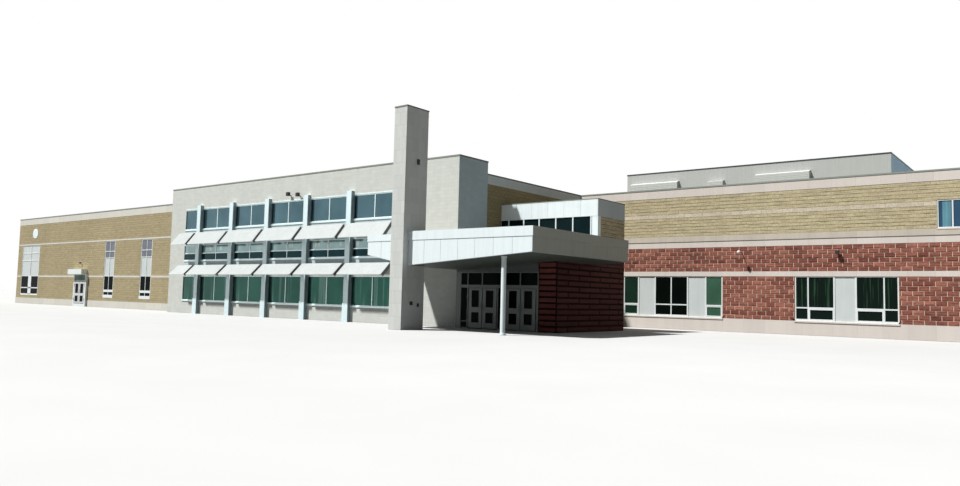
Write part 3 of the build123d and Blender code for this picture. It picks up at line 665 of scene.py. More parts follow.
def cut_opening(bm, u0, u1, v0, v1, reach_u, reach_v):
    """Cut the blocks round an opening and take out those inside it."""
    middle = Vector(((u0 + u1) / 2, (v0 + v1) / 2, 0))
    half = Vector(((u1 - u0) / 2, (v1 - v0) / 2, 0))

    def near(slack_u, slack_v):
        return [f for f in bm.faces
                if abs(f.calc_center_bounds().x - middle.x) < half.x + slack_u
                and abs(f.calc_center_bounds().y - middle.y) < half.y + slack_v]

    for point, normal, slack in (((u0, 0, 0), (1, 0, 0), reach_u), ((u1, 0, 0), (1, 0, 0), reach_u),
                                 ((0, v0, 0), (0, 1, 0), INSIDE), ((0, v1, 0), (0, 1, 0), INSIDE)):
        faces = near(slack, reach_v)
        if not faces:
            return
        edges = {e for f in faces for e in f.edges}
        verts = {v for f in faces for v in f.verts}
        bmesh.ops.bisect_plane(bm, geom=faces + list(edges) + list(verts), plane_co=point, plane_no=normal)
    bmesh.ops.delete(bm, geom=near(INSIDE, INSIDE), context="FACES")


print("courses ready")

# %% [markdown]
# A laid wall has mortar between its blocks, and each block stands a little proud. Both
# come from insets: the first narrows every face by half a joint, and leaves the mortar
# round it, and the second raises the block with a small arris. Slivers that a cut left
# stay mortar. A wall's recipe is its unit, course, joint, proud depth and finish.

# %% Blocks raised out of their mortar
MORTAR_KIND, BED_KIND = 1, 3
LEAST_BLOCK, ARRIS, SKIN_GAP = 2.6, 0.8, 0.2
TAN = (39.5, 19.7, 2.4, 0.6, 0)
RED = (50.5, 24.4, 2.6, 2.0, 0)
ACCENT = (58.0, 24.0, 1.0, 0.8, 2)
FLANK = (210.0, 27.5, 9.0, 1.4, 0)
WING_STONES = (wing_stone, tan_mortar, accent_stone, wing_bed)
TAN_STONES = (tan_stone, tan_mortar, accent_stone, tan_bed)
RED_STONES = (red_stone, red_mortar, accent_stone, red_bed)
SIDE_STONES = (side_stone, side_mortar)
FLANK_STONES = (flank_stone, flank_mortar)
LOBBY_SIDE_STONES = (painted_shade_red_brick, flank_mortar)


def face_size(face):
    """How wide and how high a face is on the drawing board."""
    across = [vert.co.x for vert in face.verts]
    up = [vert.co.y for vert in face.verts]
    return max(across) - min(across), max(up) - min(up)


def block_skin(name, facing, plane, zones, openings, finishes, seed, bed_kind=MORTAR_KIND):
    """A wall of modelled blocks. Zones are (from, to, bottom, top, *recipe), and the level
    joints may have a finish of their own, darker with painted shade under each course."""
    dice = random.Random(seed)
    bm = bmesh.new()
    bm.faces.layers.float.new("tone")
    for a, b, bottom, top, unit, course, joint, proud, kind in zones:
        left, right = along(facing, a, b)
        part = bmesh.new()
        tone = part.faces.layers.float.new("tone")
        lay_rows(part, tone, dice, left, right, bottom, top, unit, course, kind)
        for a0, b0, v0, v1 in openings:
            u0, u1 = along(facing, a0, b0)
            if v0 < top and v1 > bottom and u0 < right and u1 > left:
                cut_opening(part, u0, u1, max(v0, bottom - 1), min(v1, top + 1), unit / 2, course)
        units = [(face, face.material_index) for face in part.faces
                 if min(face_size(face)) > LEAST_BLOCK * joint]
        stones = [face for face, _ in units]
        bmesh.ops.inset_individual(part, faces=stones, thickness=joint / 2, depth=0.0, use_even_offset=True)
        for face in part.faces:
            wide, high = face_size(face)
            face.material_index = bed_kind if wide > high else MORTAR_KIND
        for face, unit_kind in units:
            face.material_index = unit_kind
        bmesh.ops.inset_individual(part, faces=stones, thickness=proud * ARRIS, depth=proud,
                                   use_even_offset=True)
        join(bm, part)
    return hang(name, bm, facing, plane, finishes, lift=SKIN_GAP)


print("block layer ready")

# %% [markdown]
# The left wing is tan block between pale bands. Its openings are the tall window
# columns, the porch and the hood over it. The wall only states its levels and its
# openings, and the layer above does the rest, so a change of size needs one number.

# %% Blocks of the left wing
WING_LEFT, SLAB_LEFT, WING_FACE, REAR = -6045.0, -2834.0, 180.0, 3400.0
WING_LEVELS = ((58, 265), (281, 585), (598, 794))
END_COLUMN = (-5945.0, -5545.0)
TALL_COLUMNS = ((-4214.0, -4040.0), (-3594.0, -3420.0))
COLUMN_FOOT, COLUMN_HEAD = 86, 585
PORCH, HOOD, PORCH_HEAD, HOOD_TOP = (-4740.0, -4500.0), (-4785.0, -4517.0), 291, 338
wing_openings = [(*c, COLUMN_FOOT, COLUMN_HEAD) for c in (END_COLUMN, *TALL_COLUMNS)]
wing_openings += [(*PORCH, 0, PORCH_HEAD), (*HOOD, PORCH_HEAD, HOOD_TOP)]
block_skin("wing_front_blocks", "front", WING_FACE,
           [(WING_LEFT, SLAB_LEFT, *level, *TAN) for level in WING_LEVELS], wing_openings,
           WING_STONES, 11, BED_KIND)
block_skin("wing_end_blocks", "left", WING_LEFT,
           [(WING_FACE, REAR, *level, *TAN) for level in WING_LEVELS], [],
           WING_STONES, 12, BED_KIND)

# %% [markdown]
# The right block has red rock-face units in its lower storey and tan ones above, with
# one pale accent course. Its end and the rear wall repeat them. All three could be one
# mesh, but a piece a wall and a colour keeps each one light, and lets a loop lay them.

# %% Blocks of the right block and the rear
BLOCK_FACE, BLOCK_LEFT, BLOCK_END = 1270.0, 2.5, 3080.0
RED_LEVELS = ((77, 321), (349, 492))
TAN_LEVELS = ((562, 676), (700, 802))
ACCENT_LEVEL = (676, 700)
SIDE, PANEL, PAIR, WIDE, WIDE_PANEL = 103.0, 109.0, 214.0, 204.0, 104.0
LOW = (77.0, 321.0)
UPPER = (563.0, 705.0)
REAR_GROUPS = 7


def split(left, widths):
    """Neighbouring stretches of the given widths, from a left end."""
    stretches = []
    for width in widths:
        stretches.append((left, left + width))
        left += width
    return stretches


group_a = split(327.0, (SIDE, PANEL, PAIR, PANEL, SIDE))
group_b = split(1373.0, (WIDE, WIDE_PANEL, WIDE))
group_c = split(2294.0, (SIDE, PANEL, PAIR, PANEL, SIDE))
block_groups = (group_a, group_b, group_c)
upper_windows = [(2062.0, 2362.0), (2692.0, 2992.0)]
rear_pitch = (BLOCK_END - WING_LEFT) / REAR_GROUPS
rear_middles = [WING_LEFT + (k + 0.5) * rear_pitch for k in range(REAR_GROUPS)]
front_holes = [(g[0][0], g[-1][1], *LOW) for g in block_groups]
front_holes += [(*w, *UPPER) for w in upper_windows]
rear_holes = [(m - PAIR, m + PAIR, *LOW) for m in rear_middles]
rear_holes += [(m - PAIR / 2, m + PAIR / 2, *UPPER) for m in rear_middles]
for number, (place, facing, plane, a, b, holes) in enumerate((
        ("block_front", "front", BLOCK_FACE, BLOCK_LEFT, BLOCK_END, front_holes),
        ("block_end", "right", BLOCK_END, BLOCK_FACE, REAR, []),
        ("rear", "rear", REAR, WING_LEFT, BLOCK_END, rear_holes))):
    red_zones = [(a, b, *level, *RED) for level in RED_LEVELS]
    tan_zones = [(a, b, *level, *TAN) for level in TAN_LEVELS] + [(a, b, *ACCENT_LEVEL, *ACCENT)]
    block_skin(place + "_red_blocks", facing, plane, red_zones, holes, RED_STONES,
               20 + number, BED_KIND)
    block_skin(place + "_tan_blocks", facing, plane, tan_zones, holes, TAN_STONES,
               30 + number, BED_KIND)

# %% [markdown]
# Between the slab and the block stands a short tan wall, with the lobby in front of it.
# The lobby and its narrow flank beside the doors are dark red brick in long level
# courses with deep black joints. The same layer makes them from a longer, lower unit,
# so the corner courses of the flank and the side meet at the same heights.

# %% Blocks round the lobby
LOBBY_RIGHT, LOBBY_REAR, SCREEN_RIGHT, CANOPY_ROOF = 630.0, 687.0, 525.0, 440.0
SLAB_DEPTH, SIDE_WALL_END, SIDE_WALL_TOP = 253.0, BLOCK_FACE - 2, 802
CLEAR_FRONT, CLEAR_HEAD, CLEAR_TOP = 390.0, 605, 695
CLEAR_BLOCKS, CLEAR_MARK = 425.0, (388, LOBBY_REAR, CANOPY_ROOF, 700)
HEAD_TOP, LOBBY_SIDE_TOP, LOBBY_REAR_TOP = 343, 340, 690
# SIDE_STONES paint this right-facing wall darker, as shade.
block_skin("side_wall_blocks", "right", 0.0, [(SLAB_DEPTH, SIDE_WALL_END, CANOPY_ROOF, SIDE_WALL_TOP, *TAN),
                                              (LOBBY_REAR, SIDE_WALL_END, 0, CANOPY_ROOF, *TAN)],
           [CLEAR_MARK], SIDE_STONES, 41)
block_skin("lobby_flank_bricks", "front", 0.0, [(SCREEN_RIGHT, LOBBY_RIGHT, 0, HEAD_TOP, *FLANK)], [],
           FLANK_STONES, 42)
# The lobby's right side is laid in bricks darkened with painted shade.
block_skin("lobby_side_bricks", "right", LOBBY_RIGHT, [(0.0, LOBBY_REAR, 0, LOBBY_SIDE_TOP, *FLANK)], [],
           LOBBY_SIDE_STONES, 43)
block_skin("lobby_rear_blocks", "rear", LOBBY_REAR, [(0.0, LOBBY_RIGHT, 0, LOBBY_REAR_TOP, *TAN)], [],
           TAN_STONES, 44, BED_KIND)
block_skin("clerestory_side_blocks", "right", LOBBY_RIGHT,
           [(CLEAR_BLOCKS, LOBBY_REAR, CANOPY_ROOF, CLEAR_HEAD, *TAN)], [],
           TAN_STONES, 45, BED_KIND)

# %% [markdown]
# Window frames are thin white bars set just behind the wall's face, round each opening
# and across it. A frame is drawn as bars with bevelled edges and joined into one piece
# a wall, which keeps the object count low and the edges catching light.

# %% Bars of a window frame
FRAME_DEPTH, STEP_BACK = (-4.3, -1.0), 0.2


def frame_bars(bm, facing, opening, width, mullions=(), transoms=(), depth=FRAME_DEPTH, split_width=None,
               left_kind=0):
    """A ring of bars round an opening, with uprights and cross bars at given places."""
    a, b, z0, z1 = opening
    u0, u1 = along(facing, a, b)
    near, far = depth
    half = (split_width or width) / 2
    add_bar(bm, u0, u1, z0, z0 + width, near, far)
    add_bar(bm, u0, u1, z1 - width, z1, near, far)
    add_bar(bm, u0, u0 + width, z0 + width, z1 - width, near, far, kind=left_kind)
    add_bar(bm, u1 - width, u1, z0 + width, z1 - width, near, far)
    for place in mullions:
        middle = along(facing, place, place)[0]
        add_bar(bm, middle - half, middle + half, z0 + width, z1 - width, near, far)
    for z in transoms:
        add_bar(bm, u0 + width, u1 - width, z - half, z + half, near, far - STEP_BACK)


print("frame bars ready")

# %% [markdown]
# Three rows of windows fill each bay of the slab, with a middle upright in every row.
# Pale blue enamel panels close the strips between the rows, behind the sunshades. The
# bays are worked out from one pitch, and each row is (heights, bar, cross bars, upright),
# so that one loop fills them all.

# %% Slab window frames and spandrel panels
PITCH_X, BAY_RIGHT, BAY_WIDTH, HALF_WIDTH = 399.5, -459.5, 357.5, 181.5
SLAB_ROWS = (((612, 760), 6, (), 7), ((386, 498), 5, (437,), 6), ((95, 273), 5, (), 6))
SLAB_RAILS = ((604, 612, 5), (760, 766, 2), (378, 386, 5), (88, 95, 5))
SPANDRELS, PANEL_JOINT = ((349, 378), (498, 520), (585, 604)), 0.6
bays = [(BAY_RIGHT - k * PITCH_X - BAY_WIDTH, BAY_RIGHT - k * PITCH_X) for k in range(5)]
half_right = BAY_RIGHT - 5 * PITCH_X
bays.append((half_right - HALF_WIDTH, half_right))
bm, panels = bmesh.new(), bmesh.new()
for left, right in bays:
    middle = [(left + right) / 2] if right - left > HALF_WIDTH else []
    for heights, width, transoms, upright in SLAB_ROWS:
        # left_kind=1 gives each left jamb the dark paint of the fin's shadow.
        frame_bars(bm, "front", (left, right, *heights), width, middle, transoms, split_width=upright,
                   left_kind=1)
    for z0, z1, reach in SLAB_RAILS:
        add_bar(bm, left, right, z0, z1, OFF_WALL, reach)
    for z0, z1 in SPANDRELS:
        for a, b in zip([left] + middle, middle + [right]):
            add_bar(panels, a + PANEL_JOINT, b - PANEL_JOINT, z0, z1, OFF_WALL, 1.2)
hang("slab_window_frames", bm, "front", 0.0, (slab_frame_paint, fin_shadow_jamb_paint))
hang("slab_spandrel_panels", panels, "front", 0.0, (spandrel_paint,))

# %% [markdown]
# Each sunshade ends in a folded edge strip that reaches in front of the fin, and a dark
# arm hangs below its right end. Both follow the shade's slope. Turning each one by hand
# would be slow, so they are drawn flat, with the slope as the upward direction, and one
# matrix per row tilts them.

# %% Sunshade edges and arms
SHADE_INNER, SHADE_OUTER, SHADE_GAP, SHADE_EDGE = 45.0, 117.0, 3.0, 6.0
SHADE_ROWS = ((585.0, 496.0), (349.0, 279.0))
STRIP_PLAY, STRIP_DEPTH, ARM_DROP = 0.3, 2.0, 22.0
strips, arms = bmesh.new(), bmesh.new()
for high, low in SHADE_ROWS:
    run, rise = SHADE_OUTER - SHADE_INNER, high - low
    length = math.hypot(run, rise)
    tilt = Matrix(((1, 0, 0, 0), (0, run / length, -rise / length, -SHADE_OUTER),
                   (0, rise / length, run / length, low), (0, 0, 0, 1)))
    for left, right in bays:
        for a, b in ((left - SHADE_EDGE, left + SHADE_GAP - STRIP_PLAY),
                     (right - SHADE_GAP + STRIP_PLAY, right + SHADE_EDGE)):
            strip = bmesh.new()
            add_bar(strip, a, b, 0.6, length - 0.2, -STRIP_DEPTH, -0.05, 0.3)
            join(strips, strip, tilt)
        arm = bmesh.new()
        shade_end = right + SHADE_EDGE
        add_bar(arm, shade_end - 2.5, shade_end - 0.5, 6, length - 3, -ARM_DROP, -STRIP_DEPTH - 0.1, 0.3)
        join(arms, arm, tilt)
add_piece("sunshade_edge_strips", strips, (shade_paint,))
add_piece("sunshade_end_arms", arms, (bracket_metal,))

# %% [markdown]
# The block's ground windows come in groups. A pair of lights stands between two white
# panels with a narrow light at each side, and the wide group has two broad windows,
# each over a heavy hopper frame that tips in. A group is a row of stretches, so a loop
# can give each its own bars by its number in the row.

# %% Block and rear window frames
BAR, THIN_BAR, PANEL_BAR, UPRIGHT_BAR = 6, 5, 2, 7
CROSS_RAIL, FOOT_RAIL, UPPER_LIGHT = 149, 11, 66
HOPPER, HOPPER_DEPTH, HOPPER_STILE = (88.5, 138.0, 153.0), (-3.9, -0.6), 10
VENT, VENT_INSET = (84, 144), 5
RAIL_FACE = -0.8
WIDE_UPRIGHTS = {0: 1442.0, 2: 1817.0}


def foot_rail(bm, left, right):
    """A deeper rail at the foot of a window."""
    add_bar(bm, left, right, LOW[0], LOW[0] + FOOT_RAIL, FRAME_DEPTH[0], RAIL_FACE)


def hopper_frame(bm, left, right):
    """A heavy foot rail and cross rail with a hopper light between them."""
    foot, low, high = HOPPER
    add_bar(bm, left, right, LOW[0], foot, *HOPPER_DEPTH)
    add_bar(bm, left, right, low, high, *HOPPER_DEPTH)
    for u0, u1 in ((left, left + HOPPER_STILE), (right - HOPPER_STILE, right)):
        add_bar(bm, u0, u1, foot, low, HOPPER_DEPTH[0], RAIL_FACE)


bm = bmesh.new()
for group in (group_a, group_c):
    for number, (left, right) in enumerate(group):
        opening = (left, right, *LOW)
        if number == 2:
            middle = (left + right) / 2
            frame_bars(bm, "front", opening, BAR, (middle,), (CROSS_RAIL,), split_width=UPRIGHT_BAR)
            foot_rail(bm, left, right)
        elif number in (0, 4):
            vent = (left + VENT_INSET, right - VENT_INSET, *VENT)
            frame_bars(bm, "front", opening, BAR, (), (CROSS_RAIL,), split_width=UPRIGHT_BAR)
            frame_bars(bm, "front", vent, THIN_BAR, depth=HOPPER_DEPTH)
        else:
            frame_bars(bm, "front", opening, PANEL_BAR)
for number, (left, right) in enumerate(group_b):
    opening = (left, right, *LOW)
    upright = WIDE_UPRIGHTS.get(number)
    if upright is None:
        frame_bars(bm, "front", opening, PANEL_BAR)
    else:
        frame_bars(bm, "front", opening, BAR, (upright,), (CROSS_RAIL,), split_width=UPRIGHT_BAR)
        foot_rail(bm, left, right)
        hopper_frame(bm, *((upright, right) if number == 0 else (left, upright)))
for left, right in upper_windows:
    frame_bars(bm, "front", (left, right, *UPPER), THIN_BAR, (left + UPPER_LIGHT, right - UPPER_LIGHT),
               split_width=UPRIGHT_BAR)
hang("block_window_frames", bm, "front", BLOCK_FACE, (frame_white,))
bm = bmesh.new()
for middle in rear_middles:
    frame_bars(bm, "rear", (middle - PAIR, middle + PAIR, *LOW), THIN_BAR,
               (middle - PAIR / 2, middle, middle + PAIR / 2), (CROSS_RAIL,), split_width=BAR)
    frame_bars(bm, "rear", (middle - PAIR / 2, middle + PAIR / 2, *UPPER), BAR, (middle,), split_width=BAR)
hang("rear_window_frames", bm, "rear", REAR, (frame_white,))

# %% [markdown]
# The wing's tall columns are windows and white panels in one frame. Each has a small
# light over a deep sill at its foot. The end column has two lights and a broad upright
# between them, and its panels are parted by thin joints. They are more bars of the same
# kind, laid over the ring that frames the column.

# %% Wing window frames
COLUMN_BAR, LIGHT_BAR, EXTRA_DEPTH = 8, 6, (-4.1, -0.7)
END_RAILS, TALL_RAILS = (277, 431, 505), (277, 436, 494)
BROAD_UPRIGHT, END_JOINT = (-5776, -5706, 94, 274), (-5744, -5738, 280, 578)
END_SILL_TOP, END_LOW_RAIL, TALL_SILL_TOP, TALL_LOW_RAIL = 100, (154, 164), 112, (137, 157)
bm = bmesh.new()
left, right = END_COLUMN
frame_bars(bm, "front", (left, right, COLUMN_FOOT, COLUMN_HEAD), COLUMN_BAR, (), END_RAILS,
           split_width=LIGHT_BAR)
for bar in (BROAD_UPRIGHT, END_JOINT, (left + COLUMN_BAR, right - COLUMN_BAR, COLUMN_FOOT, END_SILL_TOP),
            (left + COLUMN_BAR, right - COLUMN_BAR, *END_LOW_RAIL)):
    add_bar(bm, *bar, *EXTRA_DEPTH)
for left, right in TALL_COLUMNS:
    frame_bars(bm, "front", (left, right, COLUMN_FOOT, COLUMN_HEAD), COLUMN_BAR, [(left + right) / 2],
               TALL_RAILS, split_width=LIGHT_BAR)
    add_bar(bm, left, right, COLUMN_FOOT, TALL_SILL_TOP, EXTRA_DEPTH[0], 1.6)
    add_bar(bm, left, right, *TALL_LOW_RAIL, EXTRA_DEPTH[0], -0.6)
hang("wing_window_frames", bm, "front", WING_FACE, (frame_white,))

# %% [markdown]
# Smooth pale sills lie under all windows of the block. Over the ledge band runs a dark
# strip, painted shadow under the cap course, and above it a weathered cap course, on which
# the upper sills rest. A profile could be swept round the corners, but all of these are
# straight and square, so plain bars with bevelled edges do, and stand a few millimetres
# out of the blocks.

# %% Stone sills, cap course and painted ledge shadow
CAP_LEVEL, SHADOW_STRIP_LEVEL = (528.8, 561.8), (525.5, 528.6)
LOW_SILL, UPPER_SILL, OVERHANG = (69, 77.5), (556, 563), 4
bm = bmesh.new()
for left, right in upper_windows:
    add_bar(bm, left - OVERHANG, right + OVERHANG, *UPPER_SILL, 0.5, 3.6, 0.5)
for group in block_groups:
    add_bar(bm, group[0][0] - OVERHANG, group[-1][1] + OVERHANG, *LOW_SILL, 2.0, 5.5, 0.6)
hang("block_stone_sills", bm, "front", BLOCK_FACE, (pale_band,))
bm = bmesh.new()
for middle in rear_middles:
    u = along("rear", middle, middle)[0]
    add_bar(bm, u - PAIR - OVERHANG, u + PAIR + OVERHANG, *LOW_SILL, 2.0, 3.8, 0.6)
    add_bar(bm, u - PAIR / 2 - OVERHANG, u + PAIR / 2 + OVERHANG, *UPPER_SILL, 0.5, 3.6, 0.5)
hang("rear_stone_sills", bm, "rear", REAR, (pale_band,))
cap, shadow_band = bmesh.new(), bmesh.new()
for facing, plane, a, b in (("front", BLOCK_FACE, BLOCK_LEFT + 0.5, BLOCK_END),
                            ("right", BLOCK_END, BLOCK_FACE, REAR), ("rear", REAR, WING_LEFT, BLOCK_END)):
    for target, level, depth in ((cap, CAP_LEVEL, (OFF_WALL, 2.0)), (shadow_band, SHADOW_STRIP_LEVEL, (2.1, 3.4))):
        strip = bmesh.new()
        add_bar(strip, *along(facing, a, b), *level, *depth)
        join(target, strip, board(facing, plane))
add_piece("ledge_cap_course", cap, (cap_stone,))
add_piece("ledge_shadow_strip", shadow_band, (ledge_shadow_paint,))

# %% [markdown]
# Over the doors runs a dark panel up to the canopy, in sheets with thin joints, and a
# rail crosses the narrow lights beside the doors. The clerestory has white uprights in
# front of its glass, joints in its white fascia and a pale band round its right side.
# A joint is the gap between two thin plates, which is cheaper than a cut groove and
# still casts its own fine shadow.

# %% Entrance head panel and clerestory trim
DOOR_HEAD, SHEET_GAP = 296, 0.5
HEAD_JOINTS = (0.6, 88, 180, 302, 420, SCREEN_RIGHT - 0.6)
SIDE_LIGHTS, SIDE_RAIL = ((34, 76), (288, 316)), (35, 40)
UPRIGHTS, UPRIGHT_HALF = (52, 156, 260, 369, 477, 588), 3.5
CLEAR_RAIL = (1, 594, CANOPY_ROOF, CANOPY_ROOF + 8)
FASCIA_JOINTS = [k * LOBBY_RIGHT / 6 for k in range(7)]
BAND_JOINTS = (CLEAR_FRONT + 1, 540, LOBBY_REAR)
bm = bmesh.new()
for u0, u1 in zip(HEAD_JOINTS, HEAD_JOINTS[1:]):
    add_bar(bm, u0 + SHEET_GAP, u1 - SHEET_GAP, DOOR_HEAD + 1, HEAD_TOP, OFF_WALL, 2.2)
hang("entrance_head_panel", bm, "front", 0.0, (head_green,))
bm = bmesh.new()
for light in SIDE_LIGHTS:
    add_bar(bm, *light, *SIDE_RAIL, -4.2, -1.2)
hang("entrance_side_rails", bm, "front", 0.0, (frame_green,))
bm = bmesh.new()
for place in UPRIGHTS:
    add_bar(bm, place - UPRIGHT_HALF, place + UPRIGHT_HALF, CANOPY_ROOF, CLEAR_HEAD, -3.9, 0.4)
add_bar(bm, *CLEAR_RAIL, -3.9, 0.2)
for u0, u1 in zip(FASCIA_JOINTS, FASCIA_JOINTS[1:]):
    add_bar(bm, u0 + 0.7, u1 - 0.7, CLEAR_HEAD + 0.5, CLEAR_TOP - 0.5, OFF_WALL, 1.1)
hang("clerestory_uprights", bm, "front", CLEAR_FRONT, (white_paint,))
bm = bmesh.new()
for u0, u1 in zip(BAND_JOINTS, BAND_JOINTS[1:]):
    add_bar(bm, u0 + 0.4, u1 - 0.4, CLEAR_HEAD, CLEAR_TOP - 0.5, OFF_WALL, 2.0)
hang("clerestory_side_band", bm, "right", LOBBY_RIGHT, (pale_band,))

# %% [markdown]
# The canopy's deep fascia is clad in white sheets with open joints. Lines in the finish
# could show the joints, but real gaps between plates keep their depth from every side.
# Each sheet is a thin bevelled plate, and its lower edge follows the soffit, which rises
# away from the pylon: the plate's lower corners are moved onto that slope.

# %% Canopy fascia sheets
PYLON_LEFT, PYLON_RIGHT, CANOPY_RIGHT, CANOPY_FRONT = 8.0, 90.0, 806.0, -473.0
TAIL_LEFT, TAIL_FRONT, CANOPY_REAR = -285.0, -380.0, 390.0
FASCIA_TOP, TAIL_FASCIA_TOP, FASCIA_GAP = 426.6, 435.6, 1.2
SOFFIT_LOW, SOFFIT_RISE, TAIL_LOW, TAIL_RISE = 307, 0.0733, 312, 0.19
FRONT_JOINTS = (PYLON_RIGHT, 192.0, 294.0, 397.0, 496.0, 599.0, 702.0, CANOPY_RIGHT)
RIGHT_JOINTS = [CANOPY_FRONT + k * (CANOPY_REAR - CANOPY_FRONT) / 8 for k in range(9)]
TAIL_JOINTS = [TAIL_LEFT + k * (PYLON_LEFT - TAIL_LEFT) / 3 for k in range(4)]
LEFT_JOINTS = (0.0, 127.0, 254.0, -TAIL_FRONT)


def soffit_height(x):
    if x >= PYLON_RIGHT:
        return SOFFIT_LOW + SOFFIT_RISE * (x - PYLON_RIGHT)
    return TAIL_LOW + TAIL_RISE * (PYLON_LEFT - x)


def add_sheets(bm, facing, plane, joints, slope, top):
    """Plates 0.8 mm thick between joints, whose lower edges follow a slope."""
    sheets = bmesh.new()
    for u0, u1 in zip(joints, joints[1:]):
        first = len(sheets.verts)
        add_bar(sheets, u0 + FASCIA_GAP / 2, u1 - FASCIA_GAP / 2, 0.0, top, OFF_WALL, 0.9, 0.25)
        sheets.verts.ensure_lookup_table()
        for vert in sheets.verts[first:]:
            if vert.co.y < top / 2:
                vert.co.y += slope(vert.co.x) + 0.6
    join(bm, sheets, board(facing, plane))


bm = bmesh.new()
add_sheets(bm, "front", CANOPY_FRONT, FRONT_JOINTS, soffit_height, FASCIA_TOP)
add_sheets(bm, "right", CANOPY_RIGHT, RIGHT_JOINTS, lambda u: soffit_height(CANOPY_RIGHT), FASCIA_TOP)
add_sheets(bm, "front", TAIL_FRONT, TAIL_JOINTS, soffit_height, TAIL_FASCIA_TOP)
add_sheets(bm, "left", TAIL_LEFT, LEFT_JOINTS, lambda u: soffit_height(TAIL_LEFT), TAIL_FASCIA_TOP)
add_piece("canopy_fascia_sheets", bm, (fascia_paint,))

# %% [markdown]
# The round column meets the canopy in a turned collar and stands in a ring at its foot.
# Both could be turned from a profile, but short cylinders with bevelled rims give the
# same edge. They are slipped over the CAD column.

# %% Column collars
COLUMN_X, COLUMN_Y, COLUMN_R = 631.0, -435.0, 11.0
COLLAR_GAP, COLLAR_HEIGHT, COLLAR_LIP = 0.6, 7, 2.5
FOOT_RING, FOOT_LIP = (4.2, 9.0), 1.5


def add_disc(bm, x, y, z0, z1, radius, segments=48, edge=0.6):
    """A bevelled cylinder that stands upright."""
    made = bmesh.ops.create_cone(bm, cap_ends=True, segments=segments, radius1=radius, radius2=radius,
                                 depth=z1 - z0, matrix=Matrix.Translation((x, y, (z0 + z1) / 2)))
    rims = list({e for v in made["verts"] for e in v.link_edges
                 if abs(e.verts[0].co.z - e.verts[1].co.z) < 1e-6})
    bmesh.ops.bevel(bm, geom=rims, offset=edge, offset_type="OFFSET", segments=2, profile=0.5,
                    affect="EDGES", material=-1)


bm = bmesh.new()
collar_top = soffit_height(COLUMN_X - COLUMN_R) - COLLAR_GAP
add_disc(bm, COLUMN_X, COLUMN_Y, collar_top - COLLAR_HEIGHT, collar_top, COLUMN_R + COLLAR_LIP)
add_disc(bm, COLUMN_X, COLUMN_Y, *FOOT_RING, COLUMN_R + FOOT_LIP)
add_piece("canopy_column_collars", bm, (white_paint,), smooth_angle=35)

# %% [markdown]
# Door glass is let into shallow pockets in both faces of each leaf. One pane could fill
# the hole, but the leaf is a solid that stays as it is, so each pocket gets a thin plate.
# It rides on its leaf and swings with it. A slim painted bead runs round each pane of the
# entrance, and a broad dark one on the wing's doors.

# %% Glass of the door leaves
ENTRANCE_DOORS = {"width": 88.0, "foot": 5.0, "face": 0.0, "inset": 20.0, "lights": ((27, 80), (107, 194)),
                  "bead": 2.0, "starts": {"entrance_leaf_1": 87.0, "entrance_leaf_2": 180.0,
                                          "entrance_leaf_3": 327.0, "entrance_leaf_4": 420.0}}
WING_DOORS = {"width": 92.0, "foot": 30.0, "face": 160.0, "inset": 26.0, "lights": ((18, 63), (95, 172)),
              "bead": 9.0, "starts": {"wing_leaf_left": -4714.5, "wing_leaf_right": -4617.5}}
PANE_DEPTHS, BEAD_DEPTHS = ((-1.5, -0.4), (-4.6, -3.5)), ((0.0, 0.9), (-5.9, -5.0))


def leaf_panes(doors, x0):
    """Panes and beads for both faces of one leaf."""
    u0, u1 = x0 + doors["inset"], x0 + doors["width"] - doors["inset"]
    bead = doors["bead"]
    bm = bmesh.new()
    for v0, v1 in doors["lights"]:
        z0, z1 = doors["foot"] + v0, doors["foot"] + v1
        for depth in PANE_DEPTHS:
            add_bar(bm, u0 + 0.2, u1 - 0.2, z0 + 0.2, z1 - 0.2, *depth, 0.2)
        below, above = (z0 - bead / 2, z0), (z1, z1 + bead / 2)
        for depth in BEAD_DEPTHS:
            for a, b, levels in ((u0 - bead, u1 + bead, below), (u0 - bead, u1 + bead, above),
                                 (u0 - bead, u0, (z0, z1)), (u1, u1 + bead, (z0, z1))):
                add_bar(bm, a, b, *levels, *depth, 0.25, kind=1)
    return bm


for doors, paint in ((ENTRANCE_DOORS, door_paint), (WING_DOORS, gasket)):
    for leaf, x0 in doors["starts"].items():
        hang(leaf + "_glazing", leaf_panes(doors, x0), "front", doors["face"], (door_pane, paint),
             leaf)

# %% [markdown]
# The penthouse on the roof is clad in finely ribbed metal siding. A bump could fake the
# ribs, but they would vanish at a corner. Plain strips with bevelled edges, one a rib and
# very low, run round all four sides and keep their shape there.

# %% Siding ribs of the penthouse
RIB_PITCH, RIB_WIDTH, RIB_DEPTH = 18.0, 7.0, 0.35
pent_low, pent_high = drawn_box("penthouse")
bm = bmesh.new()
for facing, plane, a, b in (("front", pent_low.y, pent_low.x, pent_high.x),
                            ("right", pent_high.x, pent_low.y, pent_high.y),
                            ("rear", pent_high.y, pent_low.x, pent_high.x),
                            ("left", pent_low.x, pent_low.y, pent_high.y)):
    u0, u1 = along(facing, a, b)
    ribs = bmesh.new()
    count = int((u1 - u0) / RIB_PITCH)
    pitch = (u1 - u0) / count
    for k in range(count):
        middle = u0 + (k + 0.5) * pitch
        add_bar(ribs, middle - RIB_WIDTH / 2, middle + RIB_WIDTH / 2, pent_low.z + 1, pent_high.z - 0.5,
                0.05, RIB_DEPTH, 0.12)
    join(bm, ribs, board(facing, plane))
add_piece("penthouse_siding_ribs", bm, (siding_paint,))

# %% [markdown]
# Under each roof hood's white top is a box of louvre slats that reaches down to the
# roof. The slats are bars stacked with thin gaps, and a plate closes each end, which
# reads as a louvre from every side without cutting slots. A hood is (left, right, foot,
# height).

